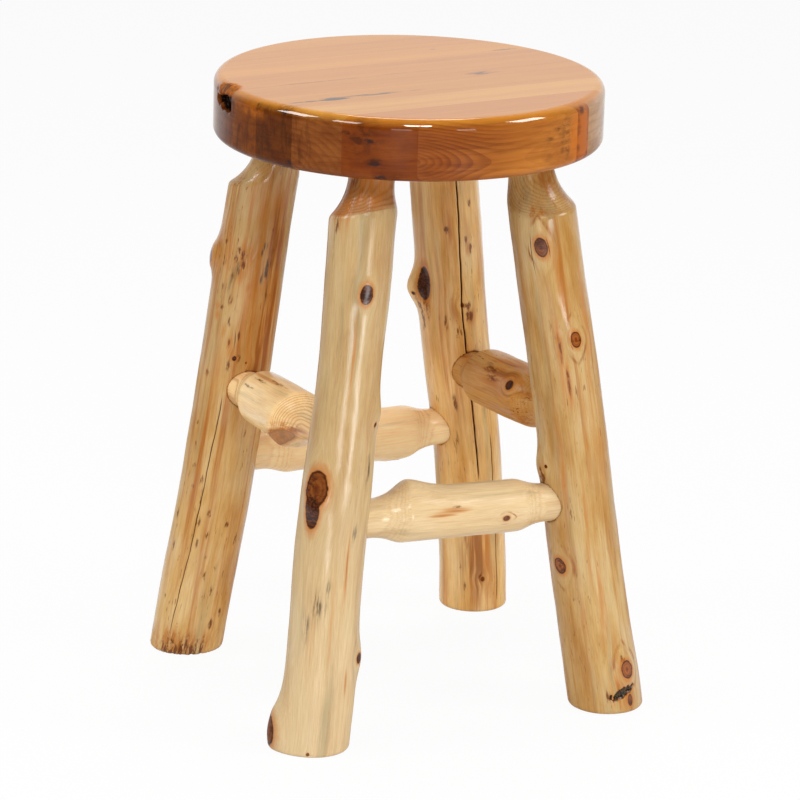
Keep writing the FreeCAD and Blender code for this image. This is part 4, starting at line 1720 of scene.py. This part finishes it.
@dataclass(frozen=True)
class LogFinish:
    """Clear-coated peeled log: pale sapwood with honey streaks, ring lines, knots, stains and cracks."""

    pale: Colour = tone(248, 216, 156)
    cream: Colour = tone(236, 192, 122)
    honey: Colour = tone(212, 154, 76)
    amber: Colour = tone(196, 112, 34)
    late_wood: Colour = tone(164, 90, 32)
    orange: Colour = tone(212, 138, 50)
    bleached: Colour = tone(255, 230, 184)
    greyed: Colour = tone(184, 168, 126)
    lens_line: Colour = tone(176, 98, 32)
    steeped: Colour = tone(178, 102, 40)
    fibre_shade: Colour = tone(214, 196, 174)
    fleck: Colour = tone(122, 60, 20)
    # crack is partly the darker wood in a crack and partly painted shade in cracks and mortise pits
    crack: Colour = tone(92, 46, 18)
    crumbs: tuple[Colour, Colour] = (tone(28, 18, 8), tone(112, 80, 28))
    black_heart: tuple[Colour, Colour] = (tone(50, 21, 7), tone(98, 48, 18))
    pale_heart: Colour = tone(222, 166, 112)
    blotch: Colour = tone(62, 26, 9)
    looks: tuple[StainLook, ...] = (
        StainLook(tone(198, 118, 40), 0.66, 0.14, (1.0, 1.0, 0.05), 0.08, 1.1, deep=tone(142, 72, 22)),
        StainLook(tone(60, 50, 40), 0.82, 0.3, (1.0, 1.0, 0.12), 0.1, 1.1),
        StainLook(tone(118, 58, 18), 0.9, 0.4, (1.0, 1.0, 0.25), 0.12, 0.8),
    )
    ring_width: float = 1.55
    knot_scale: float = 0.22
    material: bpy.types.Material = field(init=False, default=None)

    def __post_init__(self) -> None:
        """Makes the material once."""
        object.__setattr__(self, "material", self.dress())

    def knotted(self, s: Sketch, colour: Socket, grain: Socket) -> Socket:
        """Lays knots over a colour: a halo, a ringed heart and a dark rim.

        Args:
            s: the node tree.
            colour: the wood without its knots.
            grain: where the ragged edge's noise is read.

        Returns:
            The colour with the knots.
        """
        edge = s.noise(grain, self.knot_scale, 3.0, 0.6)
        ragged = s.value("ADD", s.read("knot"), s.value("MULTIPLY", s.value("SUBTRACT", edge, 0.5), 0.3))
        colour = s.blend(s.band(ragged, 0.95, 1.7, 0.75, 0.0), colour, self.amber)
        blotched = s.band(s.noise(grain, self.knot_scale * 0.8, 3.0, 0.7), 0.48, 0.64, 0.0, 0.75)
        heart = s.blend(blotched, s.ramp(ragged, HEART_RAMP), self.blotch)
        pale = s.blend(0.45, heart, self.pale_heart)
        black = s.blend(s.band(s.noise(grain, self.knot_scale * 2.2, 3.0, 0.7), 0.42, 0.62), *self.black_heart)
        darkness = s.read("tone")
        heart = s.blend(s.band(darkness, 0.2, 0.02), heart, pale)
        heart = s.blend(s.band(darkness, 0.25, 0.9), heart, black)
        return s.blend(s.band(ragged, 1.06, 0.95), colour, heart)

    def dress(self) -> bpy.types.Material:
        """Builds the node tree.

        Returns:
            The finished material.
        """
        s = Sketch(bpy.data.materials.new("peeled_log_clear_coat"))
        grain = s.read("grain", "Vector")
        figure, warmth, eye = s.read("figure"), s.read("warmth"), s.read("eye")
        fibres = s.vector("MULTIPLY", grain, (1.0, 1.0, 0.03))
        long_grain = s.vector("MULTIPLY", grain, (1.0, 1.0, 0.07))
        short_grain = s.vector("MULTIPLY", grain, (1.0, 1.0, 0.2))

        # Sapwood, from nearly white to orange, with cool patches and warm streaks
        wander = s.noise(short_grain, 0.045, 5.0, 0.6)
        colour = s.ramp(wander, ((0.34, self.pale), (0.50, self.cream), (0.68, self.honey)))
        colour = s.blend(s.band(warmth, 0.0, 2.0, 0.0, 1.0), colour, self.orange)
        colour = s.blend(s.band(warmth, 0.0, -0.5, 0.0, 0.8), colour, self.bleached)
        cool = s.noise(s.vector("ADD", long_grain, (31.0, 7.0, 3.0)), 0.06, 3.0, 0.55)
        cool = s.value("MULTIPLY", s.band(cool, 0.54, 0.74, 0.0, 0.4), s.band(warmth, 0.1, 0.9, 1.4, 0.0))
        colour = s.blend(cool, colour, self.greyed)
        streak = s.noise(s.vector("ADD", fibres, (5.0, 19.0, 11.0)), 0.10, 4.0, 0.65)
        streak = s.value("MULTIPLY", s.band(streak, 0.50, 0.72), s.band(warmth, -0.2, 0.6, 0.2, 1.0))
        colour = s.blend(streak, colour, self.amber)

        # Lens of grain round a knot
        lens = s.read("lens")
        grown = s.value("MULTIPLY", s.band(eye, 1.25, 0.6, 0.0, 0.3), lens)
        colour = s.blend(grown, colour, self.pale)
        outline = s.value("MULTIPLY", s.band(eye, 0.86, 1.06), s.band(eye, 1.45, 1.10))
        broken = s.noise(short_grain, 0.22, 4.0, 0.65)
        outline = s.value("MULTIPLY", outline, s.band(broken, 0.36, 0.60, 0.0, 1.0))
        outline = s.value("MULTIPLY", outline, s.band(s.noise(grain, 0.035, 1.0), 0.42, 0.56, 0.1, 0.9))
        colour = s.blend(s.value("MULTIPLY", outline, lens), colour, self.lens_line)
        # Painted light in part: shade scales the colour, brightening logs that the lamps leave in shade and
        # legs towards their feet
        colour = s.vector("MULTIPLY", colour, s.read("shade", "Vector"))

        # Late wood in threads along the log and in rings on its shoulders
        thread = s.band(s.noise(fibres, 0.42, 3.0, 0.6), 0.56, 0.70)
        thread = s.value("MULTIPLY", thread, s.band(warmth, -0.2, 1.0, 0.08, 0.45))
        colour = s.blend(thread, colour, self.late_wood)
        swell = s.value("MULTIPLY", s.noise(short_grain, 0.05, 2.0, 0.5), 2.6)
        phase = s.value("DIVIDE", s.value("ADD", figure, swell), self.ring_width)
        ring = s.band(s.value("PINGPONG", phase, 0.5), 0.16, 0.5)
        ringed = s.read("ringed")
        ring = s.value("MULTIPLY", ring, s.value("MULTIPLY", s.band(figure, 0.2, 2.0, 0.06, 1.0), ringed))
        steeped = s.value("MULTIPLY", s.band(figure, 0.2, 2.5, 0.0, 0.62), s.band(ringed, 0.42, 0.55))
        colour = s.blend(steeped, colour, self.steeped)
        colour = s.blend(ring, colour, self.late_wood)

        # Fibres and flecks
        fibre = s.noise(fibres, 1.2, 4.0, 0.7)
        shaded = s.ramp(fibre, ((0.32, self.fibre_shade), (0.66, WHITE)))
        colour = s.blend(0.5, colour, shaded, "MULTIPLY")
        patchy = s.band(s.noise(s.vector("MULTIPLY", grain, (1.0, 1.0, 0.5)), 0.02, 2.0), 0.42, 0.62)
        fleck = s.noise(s.vector("MULTIPLY", grain, (1.0, 1.0, 0.16)), 0.5, 2.0, 0.5)
        fleck = s.value("MULTIPLY", s.band(fleck, 0.64, 0.72), patchy)
        fleck = s.value("MULTIPLY", fleck, s.value("ADD", warmth, 0.35), clamp=True)
        colour = s.blend(fleck, colour, self.fleck)

        # Stains, knots, cracks and pockets, with painted shade in the cracks and the mortise pits
        colour = stained(s, colour, grain, self.looks)
        colour = self.knotted(s, colour, grain)
        groove = s.read("groove")
        # Painted shade in part: cracks and the pits round the tenons darken towards the crack colour
        colour = s.blend(s.band(groove, 0.15, 0.7), colour, self.crack)
        crumbs = s.blend(s.band(s.noise(grain, 0.9, 3.0, 0.7), 0.48, 0.66), *self.crumbs)
        colour = s.blend(s.band(groove, 1.05, 1.5), colour, crumbs)

        # Relief and the clear coat, which is thicker in patches
        normal = s.bump(fibre, 0.12, 0.0004)
        normal = s.bump(ring, 0.2, 0.0006, normal)
        normal = s.bump(s.noise(short_grain, 0.12, 3.0, 0.6), 0.08, 0.001, normal)
        rough = s.band(s.noise(long_grain, 0.12, 3.0), 0.3, 0.7, 0.4, 0.55)
        patches = s.noise(s.vector("MULTIPLY", grain, (1.0, 1.0, 0.6)), 0.022, 2.0, 0.5)
        coat = s.value("MULTIPLY", s.band(patches, 0.40, 0.62, 0.3, 1.3), s.read("gloss"), clamp=True)
        s.surface(Base_Color=colour, Roughness=rough, Normal=normal, Specular_IOR_Level=0.05, Coat_Weight=coat,
                  Coat_Roughness=0.17, Coat_IOR=1.45, Coat_Normal=normal)
        return s.owner


@dataclass(frozen=True)
class SeatFinish:
    """High-gloss amber boards, each with its own rings and colour."""

    top_depth: Colour = tone(247, 241, 233)
    side_depth: Colour = tone(226, 212, 200)
    late_wood: Colour = tone(112, 52, 14)
    worked_shade: Colour = tone(196, 174, 150)
    end_grain: Colour = tone(62, 28, 4)
    fibre_shade: Colour = tone(214, 198, 178)
    # hollow is painted shade: the near-black floor of a deep void in the rim
    hollow: Colour = tone(24, 13, 8)
    looks: tuple[StainLook, ...] = (
        StainLook(tone(206, 110, 20), 0.7, 0.1, (0.15, 1.0, 1.0), 0.08, 1.0, 0.6),
        StainLook(tone(38, 30, 32), 0.9, 0.2, (0.2, 1.0, 1.0), 0.12, 1.0, 0.45),
        StainLook(tone(66, 29, 7), 0.78, 0.16, (0.3, 1.0, 1.0), 0.1, 1.1, 0.35),
    )
    material: bpy.types.Material = field(init=False, default=None)

    def __post_init__(self) -> None:
        """Makes the material once."""
        object.__setattr__(self, "material", self.dress())

    def dress(self) -> bpy.types.Material:
        """Builds the node tree.

        Returns:
            The finished material.
        """
        s = Sketch(bpy.data.materials.new("seat_boards_high_gloss"))
        board = s.read("board", "Vector")
        rim = s.read("rim")
        long_grain = s.vector("MULTIPLY", board, (0.04, 1.0, 1.0))

        # The stave's own colours, deeper in bands
        wander = s.noise(long_grain, 0.05, 4.0, 0.55)
        colour = s.blend(rim, s.read("top_tone", "Color"), s.read("side_tone", "Color"))
        depth = s.blend(rim, self.top_depth, self.side_depth)
        colour = s.blend(s.band(wander, 0.36, 0.68), colour, s.blend(1.0, colour, depth, "MULTIPLY"))

        # Late wood of the rings, clearer on the rim than on top
        bend = s.noise(s.vector("MULTIPLY", board, (0.12, 1.0, 1.0)), 0.03, 2.0, 0.4)
        phase = s.value("ADD", s.read("rings"), s.value("MULTIPLY", bend, 1.5))
        late = s.band(s.value("FRACT", phase), 0.2, 0.95)
        strong = s.band(s.noise(long_grain, 0.03, 2.0), 0.35, 0.65, 0.5, 1.0)
        clear = s.value("MULTIPLY", s.read("ringed"), s.band(rim, 0.0, 1.0, 0.22, 0.75))
        late = s.value("MULTIPLY", late, s.value("MULTIPLY", strong, clear))
        colour = s.blend(late, colour, self.late_wood)

        # Sweeping shade on the rim, mottled end grain and fibres
        sweeping = s.noise(s.vector("MULTIPLY", board, (0.05, 0.12, 1.0)), 0.2, 4.0, 0.65, 0.6)
        shade = s.ramp(sweeping, ((0.42, WHITE), (0.70, self.worked_shade)))
        worked = s.blend(1.0, colour, shade, "MULTIPLY")
        colour = s.blend(s.value("MULTIPLY", rim, 0.7), colour, worked)
        place = s.node("SeparateXYZ")
        s.feed(place.inputs[0], board)
        end_grain = s.value("MULTIPLY", s.band(s.value("ABSOLUTE", place.outputs[0]), 150.0, 175.0), rim)
        mottle = s.noise(s.vector("MULTIPLY", board, (0.3, 1.0, 0.22)), 0.15, 4.0, 0.65, 0.5)
        mottle = s.value("MULTIPLY", s.band(mottle, 0.45, 0.68, 0.0, 0.6), end_grain)
        colour = s.blend(mottle, colour, self.end_grain)
        fibre = s.ramp(s.noise(long_grain, 0.9, 3.0, 0.7), ((0.3, self.fibre_shade), (0.7, WHITE)))
        colour = s.blend(0.3, colour, fibre, "MULTIPLY")

        # Stains, the hollows with their floors painted near black as painted shade, and a lacquer that the
        # hollows lack
        colour = stained(s, colour, board, self.looks)
        groove = s.read("groove")
        torn = s.value("MULTIPLY", s.noise(board, 0.5, 4.0, 0.7), 0.5)
        sunk = s.value("ADD", groove, s.value("SUBTRACT", torn, 0.25))
        # Painted shade: the floor of the deepest hollow turns near black
        colour = s.blend(s.band(sunk, 0.3, 0.62), colour, self.hollow)
        coat = s.band(groove, 0.02, 0.14, 1.0, 0.2)
        coat_index = s.value("ADD", s.band(rim, 0.0, 0.25, 1.36, 1.75), s.band(rim, 0.9, 1.0, 0.0, -0.5))
        s.surface(Base_Color=colour, Roughness=0.5, Specular_IOR_Level=0.0, Coat_Weight=coat,
                  Coat_Roughness=0.03, Coat_IOR=coat_index)
        return s.owner


@dataclass(frozen=True)
class SoftBox:
    """A square soft lamp, placed by its heading, height and distance from the stool.

    mirrored says whether the gloss shows it.
    """

    name: str
    heading: float
    height: float
    distance: float
    size: float
    power: float
    aim_height: float = 0.35
    mirrored: bool = True

    def build(self) -> None:
        """Hangs the lamp and turns it to the stool."""
        light = bpy.data.lights.new(self.name, "AREA")
        light.shape = "SQUARE"
        light.size = self.size
        light.energy = self.power
        lamp = bpy.data.objects.new(self.name, light)
        turn = math.radians(self.heading)
        place = Vector((self.distance * math.cos(turn), self.distance * math.sin(turn), self.height))
        aim = Vector((0.0, 0.0, self.aim_height)) - place
        lamp.visible_glossy = self.mirrored
        lamp.matrix_world = Matrix.Translation(place) @ aim.to_track_quat("-Z", "Y").to_matrix().to_4x4()
        bpy.context.scene.collection.objects.link(lamp)


@dataclass
class Studio:
    """A pale floor, soft lamps, a white surround and the camera.

    Reflections see the surround and the floor ahead of the camera turn white over two ranges,
    one of a direction's share straight ahead and one of metres.
    """

    lamps: tuple[SoftBox, ...] = (
        SoftBox("high_left", 205.0, 2.2, 2.4, 0.7, 9.0),
        SoftBox("side_left", 168.0, 2.2, 2.2, 0.9, 20.0),
        SoftBox("high_front", 250.0, 2.7, 2.6, 0.8, 31.0),
        SoftBox("low_front", 240.0, 0.4, 3.0, 0.6, 10.0),
        SoftBox("low_right", 276.0, 0.45, 2.6, 0.5, 9.5),
        SoftBox("side_right", 322.0, 2.0, 2.3, 0.9, 24.0),
        SoftBox("rear", 63.0, 2.9, 1.7, 0.9, 16.0),
        SoftBox("overhead", 63.0, 3.0, 0.1, 1.8, 23.0, mirrored=False),
    )
    surround_range: tuple[float, float] = (0.3, 0.85)
    floor_range: tuple[float, float] = (1.0, 1.95)
    front_mirrored: float = 0.08
    ambient: float = 0.14
    floor_tone: float = 0.86
    floor_glow: float = 0.94
    floor_size: float = 30.0
    camera_heading: float = -26.4
    camera_distance: float = 4.5
    camera_height: float = 1.6414
    aim_height: float = 0.2859
    roll: float = 1.73
    focal_pixels: float = 4735.0
    image_pixels: float = 800.0
    sensor: float = 36.0
    far_clip: float = 100.0

    def build(self) -> None:
        """Sets the floor, the surround, the lamps and the camera."""
        self.lay_floor()
        self.surround()
        for lamp in self.lamps:
            lamp.build()
        self.set_camera()
        bpy.context.scene.view_settings.view_transform = "Standard"

    def ahead(self, s: Sketch, coordinates: str) -> Socket:
        """How far a place or a direction lies ahead, as the camera is headed.

        Args:
            s: the node tree.
            coordinates: the texture coordinates to read.

        Returns:
            The distance, or the direction's share straight ahead.
        """
        turn = math.radians(self.camera_heading)
        made = s.node("VectorMath", operation="DOT_PRODUCT")
        forward = (-math.sin(turn), math.cos(turn), 0.0)
        return s.fed(made, (s.node("TexCoord").outputs[coordinates], forward)).outputs["Value"]

    def lay_floor(self) -> None:
        """A wide pale floor that keeps the shadow.

        It is near white to the camera and, behind the stool, to reflections.
        """
        half = self.floor_size / 2
        mesh = bpy.data.meshes.new("floor")
        corners = [(-half, -half, 0), (half, -half, 0), (half, half, 0), (-half, half, 0)]
        mesh.from_pydata(corners, [], [(0, 1, 2, 3)])
        floor = bpy.data.objects.new("floor", mesh)
        bpy.context.scene.collection.objects.link(floor)
        s = Sketch(bpy.data.materials.new("pale_floor"))
        matte = s.node("BsdfDiffuse")
        s.feed(matte.inputs[0], (self.floor_tone, self.floor_tone, self.floor_tone, 1.0))
        glow = s.node("Emission")
        s.feed(glow.inputs[0], WHITE)
        path = s.node("LightPath")
        behind = s.band(self.ahead(s, "Object"), *self.floor_range)
        mirrored = s.value("MULTIPLY", path.outputs["Is Glossy Ray"], behind)
        seen = s.value("MAXIMUM", path.outputs["Is Camera Ray"], mirrored)
        share = s.value("MULTIPLY", seen, self.floor_glow)
        mix = s.fed(s.node("MixShader"), (share, matte.outputs[0], glow.outputs[0]))
        s.feed(s.node("OutputMaterial").inputs["Surface"], mix.outputs[0])
        mesh.materials.append(s.owner)

    def surround(self) -> None:
        """A surround that is white to the camera and to reflections of what is behind, and dim elsewhere."""
        world = bpy.data.worlds.new("surround")
        bpy.context.scene.world = world
        s = Sketch(world)
        path = s.node("LightPath")
        behind = s.band(self.ahead(s, "Generated"), *self.surround_range, self.front_mirrored, 1.0)
        mirrored = s.value("MULTIPLY", path.outputs["Is Glossy Ray"], behind)
        seen = s.value("MAXIMUM", path.outputs["Is Camera Ray"], mirrored)
        spread = s.value("MULTIPLY", path.outputs["Is Diffuse Ray"], self.ambient)
        sky = s.fed(s.node("Background"), (WHITE, s.value("ADD", seen, spread)))
        s.feed(s.node("OutputWorld").inputs["Surface"], sky.outputs[0])

    def set_camera(self) -> None:
        """A long-lens camera that looks down at the stool with a slight roll."""
        data = bpy.data.cameras.new("camera")
        data.sensor_fit = "HORIZONTAL"
        data.sensor_width = self.sensor
        data.lens = self.sensor * self.focal_pixels / self.image_pixels
        data.clip_end = self.far_clip
        camera = bpy.data.objects.new("camera", data)
        turn, roll = math.radians(self.camera_heading), math.radians(self.roll)
        out = self.camera_distance
        place = Vector((out * math.sin(turn), -out * math.cos(turn), self.camera_height))
        forward = (Vector((0.0, 0.0, self.aim_height)) - place).normalized()
        right = forward.cross(Vector((0.0, 0.0, 1.0))).normalized()
        up = right.cross(forward)
        rolled_right = right * math.cos(roll) + up * math.sin(roll)
        rolled_up = up * math.cos(roll) - right * math.sin(roll)
        axes = Matrix((rolled_right, rolled_up, -forward)).transposed().to_4x4()
        camera.matrix_world = Matrix.Translation(place) @ axes
        bpy.context.scene.collection.objects.link(camera)
        bpy.context.scene.camera = camera


def main() -> None:
    """Builds the stool's pieces in order, then the studio round it."""
    logging.basicConfig(level=logging.INFO, format="%(name)s %(message)s")
    Undercarriage(LEGS, STRETCHERS).build(LogFinish())
    Seat().build(SeatFinish())
    Studio().build()


if __name__ == "__main__":
    main()
